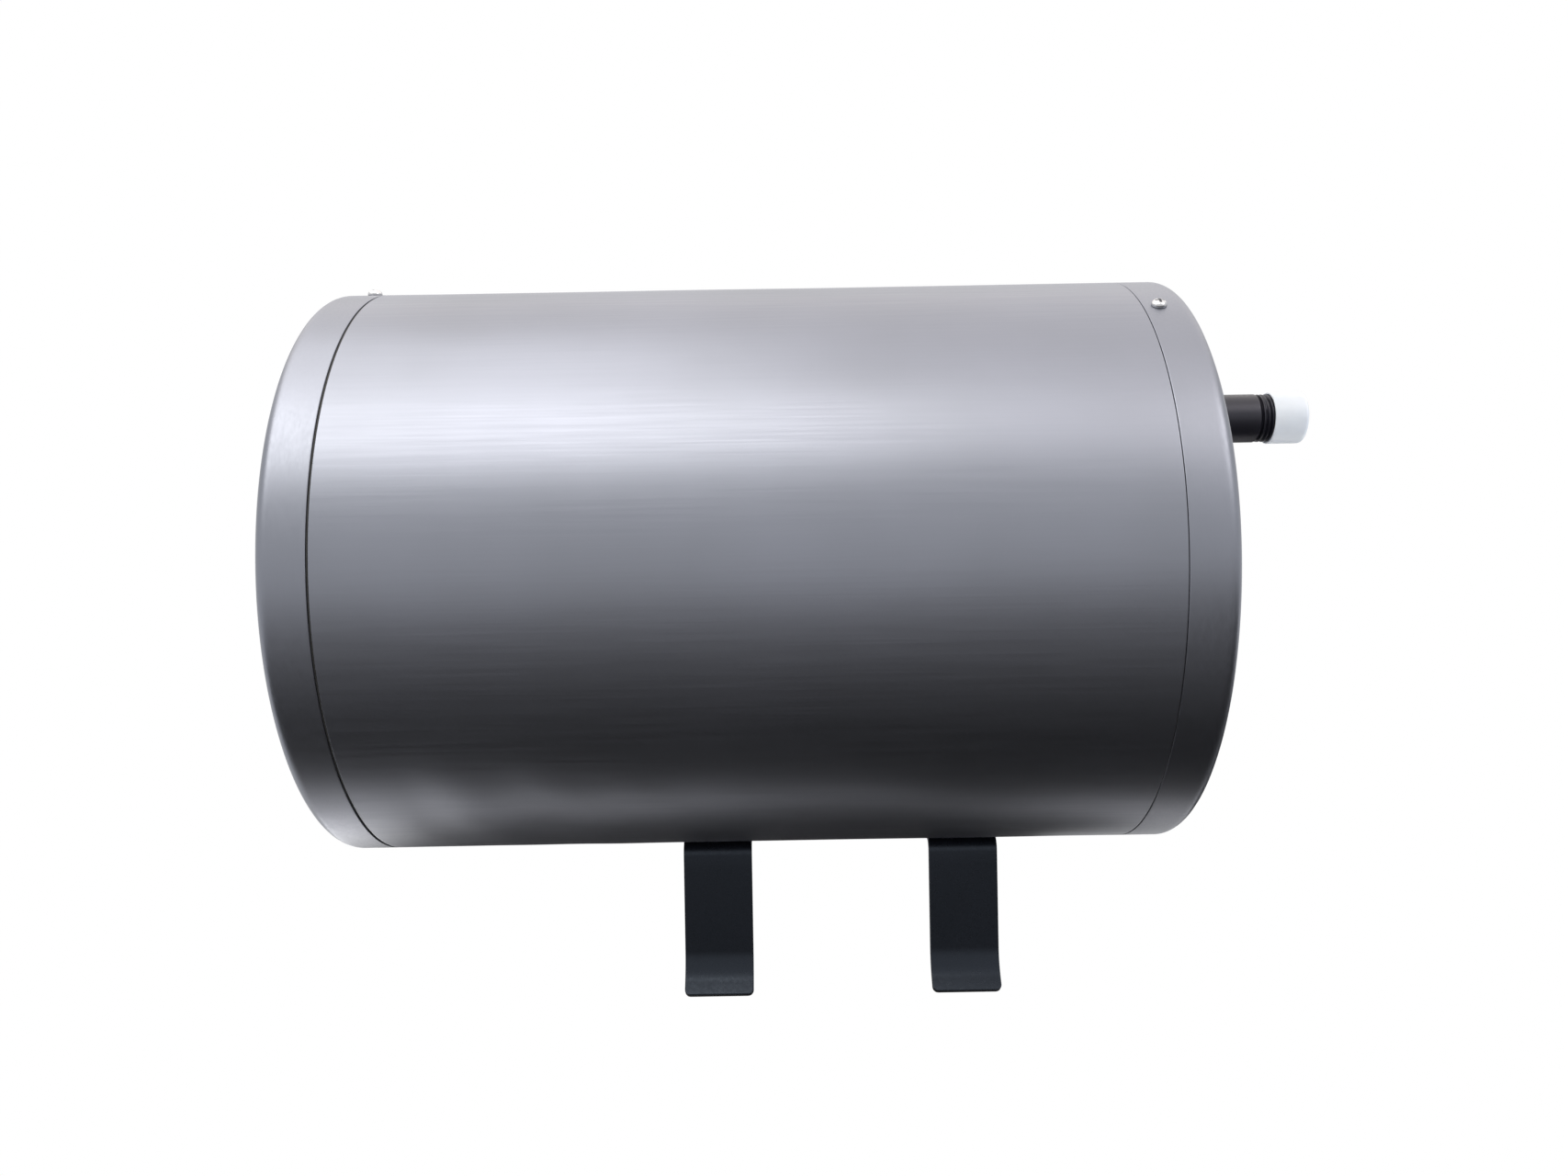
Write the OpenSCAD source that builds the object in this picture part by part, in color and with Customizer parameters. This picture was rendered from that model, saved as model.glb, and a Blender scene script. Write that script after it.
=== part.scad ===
// Horizontal storage water heater for a caravan: a painted steel drum with two pressed end caps,
// a foamed stainless tank inside, and two bent flat straps that hang it on a wall.
// The drum lies along X, with its water pipes at the +X end and its electrics at the -X end.
// The origin is midway between the two wall screw holes, on the wall face of the straps.

/* [Drum] */
// Outer diameter of the drum and end caps
drum_d = 240; // [225:1:290]
// Length of the full-diameter drum, from seam to seam
drum_len = 306; // [280:1:400]
// Thickness of the drum and end cap sheet
sheet_t = 1; // [0.8:0.1:1.4]
// Width of the dark seam between the drum and an end cap
seam_gap = 0.8; // [0.4:0.1:1.4]
// Distance that the stepped-in drum end stops short of the cap's rim
step_short = 2.8; // [1:0.1:4]
// Angle of the lengthwise sheet joint, from the front over the top
joint_angle = 150; // [135:1:165]
// Width of the cover strip over the sheet joint
joint_strip_w = 18; // [14:1:24]
// Number of rivets along the sheet joint
joint_rivets = 7; // [4:1:10]
// Diameter of a joint rivet
rivet_d = 3.2; // [2.4:0.1:4]

/* [End caps] */
// Depth of an end cap, from its edge to its rim face
cap_depth = 19; // [16:0.5:26]
// Outside radius of the cap's rolled rim
cap_rim_r = 5; // [3:0.5:6]
// Flat margin of the raised panel beyond the pipe grommets
panel_margin = 11.5; // [6:0.5:16]
// Height of the raised panel
panel_h = 4; // [2:0.5:6]
// Gap between the cap skirt and the stepped drum end
skirt_gap = 0.1; // [0.05:0.05:0.3]
// Diameter of a cap screw
cap_screw_d = 3; // [2.5:0.1:4]
// Length of a cap screw under its head
cap_screw_len = 4; // [3:0.5:6]
// Diameter of a cap screw's pan head
cap_head_d = 6; // [5:0.1:8]
// Height of a cap screw's pan head
cap_head_h = 2.4; // [1.8:0.1:3]
// Distance of the cap screws from the cap's edge
cap_screw_inset = 5.6; // [4.5:0.1:7]
// Angle of the first left cap screw above the front
left_screw_angle = 78; // [0:1:90]
// Angle of the first right cap screw above the front
right_screw_angle = 54; // [0:1:90]

/* [Hanger straps] */
// Width of a strap
strap_w = 30; // [24:1:40]
// Thickness of a strap
strap_t = 3; // [2:0.5:4]
// Distance between the two straps
strap_pitch = 108; // [80:1:160]
// Distance of the straps' middle from the drum's middle, towards the pipe end
strap_shift = 35; // [0:1:45]
// Height of a strap's end above the top of the drum
strap_above = 29; // [24:1:60]
// Height of the wall screw holes above the top of the drum
wall_hole_above = 17; // [12:1:20]
// Diameter of the wall screw holes
wall_hole_d = 6.5; // [4.5:0.1:8]
// Inside radius of the fold where a strap turns down under the drum
fold_r = 4; // [3:0.5:8]
// Length of the straight leg below the fold
leg_len = 42; // [20:0.5:80]
// Inside radius of the kicked toe
toe_r = 21.5; // [12:0.5:50]
// Angle that the toe turns forward
toe_angle = 35; // [30:1:80]
// Length of the straight tip after the toe
tip_len = 5.5; // [5:0.5:12]
// Corner radius of a strap's ends
strap_corner_r = 2.5; // [1:0.1:2.5]
// Diameter of the screws that hold the straps to the drum
hanger_screw_d = 5; // [4:0.5:6]
// Angles of a strap's two screws, from the front under the drum
hanger_angles = [-115, -155]; // [-170:1:-100]

/* [Water pipes] */
// Outside diameter of the water pipes
pipe_d = 21.3; // [19:0.1:26]
// Wall of the water pipes
pipe_wall = 2.65; // [2.2:0.05:3.5]
// Outside diameter of the pipe thread
thread_d = 20.955; // [18:0.005:25]
// Pitch of the pipe thread
thread_pitch = 1.814; // [1:0.001:2.5]
// Depth of the pipe thread
thread_depth = 1; // [0.5:0.05:1.2]
// Length of the outlet's thread
outlet_thread_len = 19.5; // [15:0.5:25]
// Length of the inlet's thread
inlet_thread_len = 15; // [12:0.5:20]
// Height of the outlet above the drum's axis, and depth of the inlet below it
pipe_offset = 62; // [50:1:74]
// Reach of the outlet beyond the right cap's panel
outlet_reach = 65; // [45:1:90]
// Reach of the inlet beyond the right cap's panel
inlet_reach = 28; // [24:1:40]
// Wall of the push-on outlet cover
cover_wall = 0.8; // [0.6:0.1:2]
// Thickness of the outlet cover's end wall
cover_end_t = 1.2; // [0.8:0.1:2]
// Length of outlet thread that the cover leaves bare
cover_bare = 6; // [2:0.5:10]
// Thickness of the rubber between a pipe and the right cap
grommet_wall = 2.85; // [2:0.05:4]

/* [Tank] */
// Thickness of the foam round the tank
foam_side = 19.3; // [15:0.1:30]
// Wall of the inner tank
tank_wall = 1.5; // [1:0.1:2.5]
// Rise of a dished head
head_rise = 22; // [16:1:28]
// Length of a head's collar inside the tank
head_collar = 8; // [5:0.5:12]
// Foam between the right head and the right cap's rim face
foam_end = 20; // [16:1:30]
// Depth of the electrics room between the flange plate and the left cap
electrics_room = 32.6; // [30:0.1:60]

/* [Element flange] */
// Diameter of the tank mouth inside the flange
mouth_d = 59; // [56:1:80]
// Length of the neck between the left head and the flange ring
neck_len = 8; // [5:0.5:12]
// Wall of the neck
neck_wall = 3.5; // [2:0.5:5]
// Thickness of the flange ring
ring_t = 5; // [4:0.5:8]
// Thickness of the flange gasket
gasket_t = 2; // [1:0.5:3]
// Thickness of the flange plate
plate_t = 4; // [3:0.5:6]
// Diameter of a flange bolt
bolt_d = 5; // [4:0.5:6]
// Diameter of the heating tube
heat_d = 8; // [6:0.5:9]
// Distance of the heating loop's bend from the right head's edge
heat_room = 48; // [30:1:120]
// Half the distance between the two legs of the heating loop
heat_half = 16; // [13:0.5:19]
// Diameter of the magnesium anode
anode_d = 12; // [8:0.5:14]
// Length of the magnesium anode
anode_len = 130; // [80:1:180]
// Diameter of the thermostat rod
rod_d = 6; // [4:0.1:8]
// Length of the thermostat rod inside the flange plate
rod_len = 146; // [90:1:220]
// Wall of the thermostat pocket
pocket_wall = 0.7; // [0.5:0.1:1.5]
// Depth of the thermostat housing
housing_depth = 20; // [16:0.5:24]
// Diameter of the temperature dial
dial_d = 14; // [10:0.5:17]
// Diameter of the reset button
reset_d = 4; // [3:0.1:5]
// Travel of the reset button
reset_travel = 1.5; // [1:0.1:2]

/* [Cable gland] */
// Thread diameter of the cable gland
gland_d = 20; // [16:0.5:25]
// Diameter of the cable that the gland takes
gland_bore = 9; // [6:0.1:11]
// Place of the gland on the left cap, to the rear of and above the axis
gland_place = [48, -40]; // [-60:1:60]

/* [Clearances] */
// Gap between pieces that are welded, seated or screwed together
seat_gap = 0.05; // [0.02:0.01:0.1]
// Gap round pieces that turn or slide
run_gap = 0.07; // [0.05:0.01:0.1]
// Gap between the straps and the drum
strap_gap = 0.15; // [0.1:0.01:0.3]
// Gap round loose pieces and foam
loose_gap = 0.3; // [0.2:0.05:0.6]

/* [Hidden] */
$fn = 120;

// How far a cutting tool runs past what it cuts
past = 1;

// Drum and caps
drum_r = drum_d / 2;
drum_end = drum_len / 2;
step_in = sheet_t + skirt_gap;
step_inner_r = drum_r - step_in - sheet_t;
cap_edge = drum_end + seam_gap;
rim_face = cap_edge + cap_depth;
step_end = rim_face - cap_rim_r - step_short;
panel_face = rim_face + panel_h;
panel_inside = panel_face - sheet_t;
cap_screw_x = cap_edge + cap_screw_inset;
hole_span = drum_r / 8;

// Sheet joint
rivet_head_d = 2 * rivet_d;
rivet_head_h = 1.1;
rivet_tail = 1;
joint_margin = 12;
strip_margin = 2;
strip_outer_r = drum_r + seat_gap + sheet_t;

// Straps
strap_inner_r = drum_r + strap_gap;
strap_outer_r = strap_inner_r + strap_t;
wall_hole_rise = drum_r + wall_hole_above;
strap_top = drum_r + strap_above;
leg_end_z = -(strap_outer_r + fold_r + leg_len);
leg_front = fold_r + strap_t;
strap_places = [strap_shift - strap_pitch / 2, strap_shift + strap_pitch / 2];
hanger_flange_d = 2.2 * hanger_screw_d;
hanger_flange_t = 1;
hanger_hex = 1.6 * hanger_screw_d;
hanger_hex_t = 0.7 * hanger_screw_d;
hanger_nut_d = 1.8 * hanger_screw_d;
hanger_nut_t = hanger_screw_d;
hanger_nut_gap = 0.1;
hanger_nut_top = drum_r - sheet_t - hanger_nut_gap;
hanger_tail = 1;
nut_pocket_room = 1.5;

// Pipes
pipe_r = pipe_d / 2;
bore_r = pipe_r - pipe_wall;
thread_r = thread_d / 2;
thread_neck = 1.5;
outlet_tip = panel_face + outlet_reach;
inlet_tip = panel_face + inlet_reach;
cover_edge = outlet_tip - outlet_thread_len + cover_bare;
cover_end = outlet_tip + loose_gap + cover_end_t;
cover_chamfer = 1;
pipe_hole_r = pipe_r + grommet_wall;
grommet_lip = 2;
grommet_land = 3;
grommet_chamfer = 0.8;
panel_r = pipe_offset + pipe_hole_r + grommet_land + panel_margin;
pipe_inside = 12;
pickup_bend = 12;
pickup_wall = 1;
pickup_run = 6;
pickup_overlap = 10;
pickup_top_room = 8;
spreader_wall = 1.2;
spreader_reach = 14;
spreader_slot = 4;
spreader_slot_len = 8;

// Tank, from the foam inwards and from both caps inwards
jacket_r = step_inner_r - loose_gap;
disc_r = step_inner_r - cap_screw_len;
tank_r = jacket_r - foam_side - loose_gap;
tank_inner_r = tank_r - tank_wall;
tank_right = rim_face - sheet_t - foam_end - head_rise;
plate_face = electrics_room - panel_inside;
gasket_face = plate_face + plate_t;
ring_face = gasket_face + gasket_t;
left_apex = ring_face + ring_t + neck_len;
tank_left = left_apex + head_rise;
collar_lap = tank_wall / 3;
head_r = (tank_r * tank_r + head_rise * head_rise) / (2 * head_rise);
pipe_start = head_x(pipe_offset) - pipe_inside;

// Flange and what it carries
mouth_r = mouth_d / 2;
neck_r = mouth_r + neck_wall;
neck_inside = 6;
bolt_land = 4;
flange_land = 6;
bolt_circle_r = neck_r + bolt_land;
flange_r = bolt_circle_r + flange_land;
bolt_count = 6;
bolt_hex = 1.45 * bolt_d;
bolt_head_t = 0.7 * bolt_d;
foam_flange_room = 4;
heat_drop = -heat_d;
heat_out = 6;
bead_wall = 1;
bead_len = 3;
pin_d = 2.5;
pin_len = 6;
pocket_rise = 14;
pocket_r = rod_d / 2 + loose_gap + pocket_wall;
pocket_end_room = 2.5;
pocket_end_t = 1.5;
anode_drop = -17;
anode_stud_d = 6;
anode_hex = 10;
anode_nut_t = 5;
stud_tail = 2;
earth_d = 4;
earth_drop = -(mouth_r + earth_d / 8);
earth_hex = 7;
earth_nut_t = 3.2;
earth_nut_pitch = 3.6;

// Thermostat
housing_face = plate_face - housing_depth;
housing_half_w = bolt_circle_r / 2 - bolt_hex / 2 / cos(30) - loose_gap;
housing_h = 27;
dial_rise = 16;
dial_shaft_d = 5;
dial_t = 4;
dial_seat = 6;
dial_slot_w = 1.4;
dial_slot_t = 1.2;
reset_margin = 4.5;
reset_place = [housing_half_w - reset_margin, reset_margin];
reset_seat = 12;
reset_proud = 0.5;

// Gland
gland_r = gland_d / 2;
gland_land = 4;
gland_flats = gland_d + gland_land;
gland_wall = 3;
gland_hex_t = 6;
gland_stub = 8;
gland_tail = 9;
gland_nut_len = 17;
gland_dome = 5;
locknut_t = 5;

// X of the outside of the right head at a distance from the axis
function head_x(r) = tank_right + head_rise - head_r + sqrt(head_r * head_r - r * r);

// X of a joint rivet
function rivet_x(i) = (drum_end - joint_margin) * (2 * i / (joint_rivets - 1) - 1);

// Radius of a dome from the width and height of its cap
function dome_radius(d, h) = (d * d / 4 + h * h) / (2 * h);

// Radius and x of a pipe with ring threads at its far end
function pipe_points(start, tip, thread_len) = let(
    rings = floor(thread_len / thread_pitch),
    first = tip - rings * thread_pitch,
    root = thread_r - thread_depth
) [
    [bore_r, start], [pipe_r, start], [pipe_r, first - thread_neck], [root, first],
    for (i = [0 : rings - 1]) each [
        [thread_r, first + (i + 0.3) * thread_pitch],
        [thread_r, first + (i + 0.6) * thread_pitch],
        [root, first + (i + 0.9) * thread_pitch]
    ],
    [root, tip], [bore_r, tip]
];

// Moves the drum's own frame, with its axis on X, to the wall frame
module in_wall_frame() translate([-strap_shift, -strap_outer_r, -wall_hole_rise]) children();

// A turned solid about X, from points of radius and x
module turned(points) rotate([0, 90, 0]) rotate_extrude() polygon(points);

// A round bar along X
module bar_x(r, x0, x1, y = 0, z = 0)
    translate([x0, y, z]) rotate([0, 90, 0]) cylinder(r = r, h = x1 - x0);

// A tube along X
module tube_x(ro, ri, x0, x1, y = 0, z = 0) difference() {
    bar_x(ro, x0, x1, y, z);
    bar_x(ri, x0 - past, x1 + past, y, z);
}

// A six-sided bar along X, with its size across flats
module hex_x(flats, x0, x1, y = 0, z = 0)
    translate([x0, y, z]) rotate([0, 90, 0]) cylinder(d = flats / cos(30), h = x1 - x0, $fn = 6);

// Turns +Z outwards at an angle above the front of the drum
module outwards(angle, x = 0) translate([x, 0, 0]) rotate([90 - angle, 0, 0]) children();

// A flat ring sector between two angles
module ring_sector(ri, ro, a0, a1) intersection() {
    difference() {
        circle(ro);
        circle(ri);
    }
    polygon([[0, 0], for (a = [a0, (a0 + a1) / 2, a1]) 2 * ro * [cos(a), sin(a)]]);
}

// What the two round corners of a strap's end leave out, with the end at y = 0
module end_corners() for (side = [-1, 1]) difference() {
    translate([side * strap_w / 2, 0]) square(2 * strap_corner_r, center = true);
    translate([side * (strap_w / 2 - strap_corner_r), -strap_corner_r]) circle(strap_corner_r);
}

// A domed head on the +Z side of a seat
module domed_head(d, h, seat) intersection() {
    translate([0, 0, seat + h - dome_radius(d, h)]) sphere(dome_radius(d, h));
    translate([0, 0, seat]) cylinder(d = d, h = h);
}

// The two radial screw holes of the right cap, at an angle
module cap_screw_holes(angle) for (turn = [0, 180]) outwards(angle + turn, cap_screw_x)
    translate([0, 0, drum_r - hole_span]) cylinder(d = cap_screw_d + 2 * seat_gap, h = 2 * hole_span);

// The rivet holes of the sheet joint
module rivet_holes() for (i = [0 : joint_rivets - 1]) outwards(joint_angle, rivet_x(i))
    translate([0, 0, drum_r - hole_span]) cylinder(d = rivet_d + 2 * seat_gap, h = 2 * hole_span);

// The rolled drum, with a stepped-in end for each cap
module drum_shell() color("dimgray") difference() {
    turned([
        [drum_r - step_in, -step_end], [drum_r - step_in, -drum_end], [drum_r, -drum_end],
        [drum_r, drum_end], [drum_r - step_in, drum_end], [drum_r - step_in, step_end],
        [step_inner_r, step_end], [step_inner_r, drum_end - sheet_t],
        [drum_r - sheet_t, drum_end - sheet_t], [drum_r - sheet_t, sheet_t - drum_end],
        [step_inner_r, sheet_t - drum_end], [step_inner_r, -step_end]
    ]);
    cap_screw_holes(right_screw_angle);
    mirror([1, 0, 0]) cap_screw_holes(left_screw_angle);
    for (x = strap_places, a = hanger_angles) outwards(a, x)
        translate([0, 0, drum_r - hole_span]) cylinder(d = hanger_screw_d + 2 * seat_gap, h = 2 * hole_span);
    rivet_holes();
}

// The cover strip over the lengthwise joint of the rolled sheet
module joint_strip() color("dimgray") difference() {
    half = asin(joint_strip_w / drum_d);
    rotate([90, 0, 90]) translate([0, 0, strip_margin - drum_end]) linear_extrude(drum_len - 2 * strip_margin)
        rotate(180 - joint_angle) ring_sector(drum_r + seat_gap, strip_outer_r, -half, half);
    rivet_holes();
}

// The rivets of the joint, with domed heads
module joint_rivet_set() color("silver") for (i = [0 : joint_rivets - 1]) outwards(joint_angle, rivet_x(i)) {
    seat = strip_outer_r + seat_gap;
    tail = drum_r - sheet_t - rivet_tail;
    translate([0, 0, tail]) cylinder(d = rivet_d, h = seat - tail);
    domed_head(rivet_head_d, rivet_head_h, seat);
}

// Half the section of a solid cap with a round rim and a raised panel, set in by a wall
module cap_section(wall, edge) {
    r = drum_r - wall;
    face = rim_face - wall;
    rim = cap_rim_r - wall;
    panel = panel_r - wall * (sqrt(2) - 1);
    translate([0, edge]) square([r - rim, face - edge]);
    translate([0, edge]) square([r, face - rim - edge]);
    translate([r - rim, face - rim]) circle(rim);
    polygon([
        [0, edge], [panel + panel_h, edge], [panel + panel_h, face],
        [panel, face + panel_h], [0, face + panel_h]
    ]);
}

// A pressed end cap on the right end, without holes
module cap_blank() rotate([0, 90, 0]) rotate_extrude() difference() {
    cap_section(0, cap_edge);
    cap_section(sheet_t, cap_edge - past);
}

// The left cap, with the cable gland's hole
module left_end_cap() color("dimgray") difference() {
    mirror([1, 0, 0]) cap_blank();
    mirror([1, 0, 0]) cap_screw_holes(left_screw_angle);
    bar_x(gland_r + seat_gap, -panel_face - past, -panel_inside + past, gland_place[0], gland_place[1]);
}

// The right cap, with the two pipe holes
module right_end_cap() color("dimgray") difference() {
    cap_blank();
    cap_screw_holes(right_screw_angle);
    for (z = [-pipe_offset, pipe_offset]) bar_x(pipe_hole_r, panel_inside - past, panel_face + past, 0, z);
}

// A pan-head screw with a cross recess, with its head on the cap's skirt
module cap_screw() {
    recess_w = cap_head_d / 7;
    recess_len = cap_head_d / 2;
    seat = drum_r + seat_gap;
    translate([0, 0, drum_r - cap_screw_len]) cylinder(d = cap_screw_d, h = cap_screw_len + seat_gap);
    difference() {
        domed_head(cap_head_d, cap_head_h, seat);
        for (turn = [0, 90]) rotate(turn) translate([-recess_len / 2, -recess_w / 2, seat + cap_head_h / 2])
            cube([recess_len, recess_w, cap_head_h]);
    }
}

module left_cap_screws() color("silver")
    for (turn = [0, 180]) outwards(left_screw_angle + turn, -cap_screw_x) cap_screw();

module right_cap_screws() color("silver")
    for (turn = [0, 180]) outwards(right_screw_angle + turn, cap_screw_x) cap_screw();

// A round end with a straight run before and after it, about the toe's centre
module toe_round(r) {
    circle(r);
    square([r, leg_len + past]);
    rotate(-toe_angle) translate([0, -tip_len - past]) square([r, tip_len + past]);
}

// The side of a strap's leg, kicked toe and tip, about the toe's centre
module leg_and_toe() intersection() {
    reach = 2 * (toe_r + strap_t);
    back = tip_len * [sin(toe_angle), cos(toe_angle)];
    difference() {
        toe_round(toe_r + strap_t);
        toe_round(toe_r);
    }
    polygon([
        [0, 0], [0, leg_len], [reach, leg_len],
        reach * [cos(toe_angle), -sin(toe_angle)] - back, -back
    ]);
}

// One bent strap: wall plate, quarter wrap under the drum, fold, leg and kicked toe
module hanger_strap(x) color([0.08, 0.08, 0.09]) translate([x, 0, 0]) difference() {
    translate([-strap_w / 2, 0, 0]) rotate([90, 0, 90]) linear_extrude(strap_w) {
        translate([strap_inner_r, 0]) square([strap_t, strap_top]);
        ring_sector(strap_inner_r, strap_outer_r, -90, 0);
        translate([0, leg_end_z + leg_len]) ring_sector(fold_r, leg_front, 90, 180);
        translate([-leg_front - toe_r, leg_end_z]) leg_and_toe();
    }
    translate([0, strap_outer_r + past, strap_top]) rotate([90, 0, 0])
        linear_extrude(strap_t + 2 * past) end_corners();
    translate([0, -leg_front - toe_r, leg_end_z]) rotate([-toe_angle, 0, 0])
        translate([0, toe_r - past, -tip_len]) rotate([-90, 0, 0])
        linear_extrude(strap_t + 2 * past) end_corners();
    translate([0, strap_inner_r - past, wall_hole_rise]) rotate([-90, 0, 0])
        cylinder(d = wall_hole_d, h = strap_t + 2 * past);
    for (a = hanger_angles) outwards(a) translate([0, 0, strap_inner_r - past])
        cylinder(d = hanger_screw_d + 2 * seat_gap, h = strap_t + 2 * past);
}

module left_hanger_strap() hanger_strap(strap_places[0]);

module right_hanger_strap() hanger_strap(strap_places[1]);

// Flanged hex screws through the straps into the drum
module hanger_screws() color("gray") for (x = strap_places, a = hanger_angles) outwards(a, x) {
    tail = hanger_nut_top - hanger_nut_t - hanger_tail;
    seat = strap_outer_r + seat_gap;
    translate([0, 0, tail]) cylinder(d = hanger_screw_d, h = seat - tail);
    translate([0, 0, seat]) cylinder(d = hanger_flange_d, h = hanger_flange_t);
    translate([0, 0, seat]) cylinder(d = hanger_hex / cos(30), h = hanger_flange_t + hanger_hex_t, $fn = 6);
}

// Weld nuts behind the drum sheet
module hanger_nuts() color("gray") for (x = strap_places, a = hanger_angles) outwards(a, x)
    translate([0, 0, hanger_nut_top - hanger_nut_t]) difference() {
        cylinder(d = hanger_nut_d, h = hanger_nut_t);
        translate([0, 0, -past]) cylinder(d = hanger_screw_d + 2 * seat_gap, h = hanger_nut_t + 2 * past);
    }

module hot_outlet_pipe() color([0.1, 0.1, 0.11]) translate([0, 0, pipe_offset])
    turned(pipe_points(pipe_start, outlet_tip, outlet_thread_len));

module cold_inlet_pipe() color([0.1, 0.1, 0.11]) translate([0, 0, -pipe_offset])
    turned(pipe_points(pipe_start, inlet_tip, inlet_thread_len));

// The clear push-on cover over the outlet's thread
module hot_outlet_cover() color([0.92, 0.94, 0.96, 0.6]) {
    ri = thread_r + run_gap;
    ro = ri + cover_wall;
    translate([0, 0, pipe_offset]) turned([
        [ri, cover_edge], [ro, cover_edge], [ro, cover_end - cover_chamfer], [ro - cover_chamfer, cover_end],
        [0, cover_end], [0, cover_end - cover_end_t], [ri, cover_end - cover_end_t]
    ]);
}

// The bent tube that draws hot water from the top of the tank
module hot_pickup_tube() color("silver") {
    ro = bore_r - seat_gap;
    ri = ro - pickup_wall;
    corner = pipe_start - pickup_run;
    rise = tank_inner_r - pipe_offset - pickup_bend - pickup_top_room;
    tube_x(ro, ri, corner, pipe_start + pickup_overlap, 0, pipe_offset);
    translate([corner, 0, pipe_offset + pickup_bend]) rotate([90, 0, 0]) rotate([0, 0, 180])
        rotate_extrude(angle = 90) translate([pickup_bend, 0]) difference() {
            circle(ro);
            circle(ri);
        }
    translate([corner - pickup_bend, 0, pipe_offset + pickup_bend]) difference() {
        cylinder(r = ro, h = rise);
        translate([0, 0, -past]) cylinder(r = ri, h = rise + 2 * past);
    }
}

// The slotted cup that spreads cold water along the tank's floor
module cold_inlet_spreader() color("silver") translate([0, 0, -pipe_offset]) difference() {
    ri = pipe_r + seat_gap;
    ro = ri + spreader_wall;
    end = pipe_start - spreader_reach;
    rim = head_x(pipe_offset + ro) - 2 * tank_wall - loose_gap;
    turned([
        [ri, rim], [ro, rim], [ro, end], [0, end], [0, end + spreader_wall], [ri, end + spreader_wall]
    ]);
    for (turn = [0, 90]) translate([end + spreader_wall, 0, 0]) rotate([turn, 0, 0])
        translate([past, -spreader_slot / 2, -2 * ro]) cube([spreader_slot_len, spreader_slot, 4 * ro]);
}

// A rubber grommet between a pipe and the right cap
module pipe_grommet(z) color([0.13, 0.13, 0.13]) translate([0, 0, z]) {
    ri = pipe_r + seat_gap;
    groove = pipe_hole_r - seat_gap;
    ro = pipe_hole_r + grommet_land;
    turned([
        [ri, panel_inside - grommet_lip], [ro, panel_inside - grommet_lip], [ro, panel_inside - seat_gap],
        [groove, panel_inside - seat_gap], [groove, panel_face + seat_gap], [ro, panel_face + seat_gap],
        [ro - grommet_chamfer, panel_face + grommet_lip], [ri, panel_face + grommet_lip]
    ]);
}

module outlet_grommet() pipe_grommet(pipe_offset);

module inlet_grommet() pipe_grommet(-pipe_offset);

module tank_shell() color("silver") tube_x(tank_r, tank_inner_r, tank_left, tank_right);

// A dished head on the right end, with a collar inside the shell
module head_blank() rotate([0, 90, 0]) rotate_extrude() {
    intersection() {
        translate([0, tank_right + head_rise - head_r]) difference() {
            circle(head_r);
            circle(head_r - tank_wall);
        }
        translate([0, tank_right]) square([tank_r, head_rise + past]);
    }
    translate([tank_inner_r - seat_gap - tank_wall, tank_right - head_collar])
        square([tank_wall, head_collar + collar_lap]);
}

// Moves a right head, or the space that it takes, to the left end
module at_left_end() translate([tank_left + tank_right, 0, 0]) mirror([1, 0, 0]) children();

module tank_left_head() color("silver") difference() {
    at_left_end() head_blank();
    bar_x(neck_r + seat_gap, left_apex - past, tank_left);
}

module tank_right_head() color("silver") difference() {
    head_blank();
    for (z = [-pipe_offset, pipe_offset]) bar_x(pipe_r + seat_gap, tank_right, rim_face, 0, z);
}

// Puts a piece at each flange bolt
module at_flange_bolts() for (i = [0 : bolt_count - 1]) rotate([i * 360 / bolt_count, 0, 0])
    translate([0, bolt_circle_r, 0]) children();

// The neck and flange ring welded into the left head
module tank_neck() color("silver") difference() {
    turned([
        [mouth_r, ring_face], [flange_r, ring_face], [flange_r, ring_face + ring_t],
        [neck_r, ring_face + ring_t], [neck_r, left_apex + neck_inside], [mouth_r, left_apex + neck_inside]
    ]);
    at_flange_bolts() bar_x(bolt_d / 2 + seat_gap, ring_face - past, ring_face + ring_t + past);
}

module flange_gasket() color([0.15, 0.15, 0.15]) difference() {
    tube_x(flange_r, mouth_r, gasket_face, ring_face);
    at_flange_bolts() bar_x(bolt_d / 2 + seat_gap, gasket_face - past, ring_face + past);
}

// A clear hole through the flange plate
module plate_hole(r, y, z) bar_x(r + seat_gap, plate_face - past, gasket_face + past, y, z);

// The plate that carries the element, the anode and the thermostat pocket
module flange_plate() color("lightsteelblue") difference() {
    bar_x(flange_r, plate_face, gasket_face);
    at_flange_bolts() plate_hole(bolt_d / 2, 0, 0);
    for (y = [-heat_half, heat_half]) plate_hole(heat_d / 2, y, heat_drop);
    plate_hole(pocket_r, 0, pocket_rise);
    plate_hole(anode_stud_d / 2, 0, anode_drop);
    plate_hole(earth_d / 2, 0, earth_drop);
}

module flange_bolts() color("gray") at_flange_bolts() {
    bar_x(bolt_d / 2, plate_face - seat_gap, ring_face + ring_t);
    hex_x(bolt_hex, plate_face - bolt_head_t, plate_face - seat_gap);
}

// The hairpin heating tube
module heating_element() color("rosybrown") {
    bend_x = tank_right - heat_room;
    translate([bend_x, 0, heat_drop]) {
        for (y = [-heat_half, heat_half]) translate([0, y, 0]) rotate([0, -90, 0])
            cylinder(d = heat_d, h = bend_x - plate_face + heat_out);
        rotate([0, 0, -90]) rotate_extrude(angle = 180) translate([heat_half, 0]) circle(heat_d / 2);
    }
}

// The ceramic beads and contact pins at the ends of the heating tube
module element_terminals() color("white") for (y = [-heat_half, heat_half]) {
    end = plate_face - heat_out - seat_gap;
    bar_x(heat_d / 2 - bead_wall, end - bead_len, end, y, heat_drop);
    bar_x(pin_d / 2, end - bead_len - pin_len, end, y, heat_drop);
}

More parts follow.
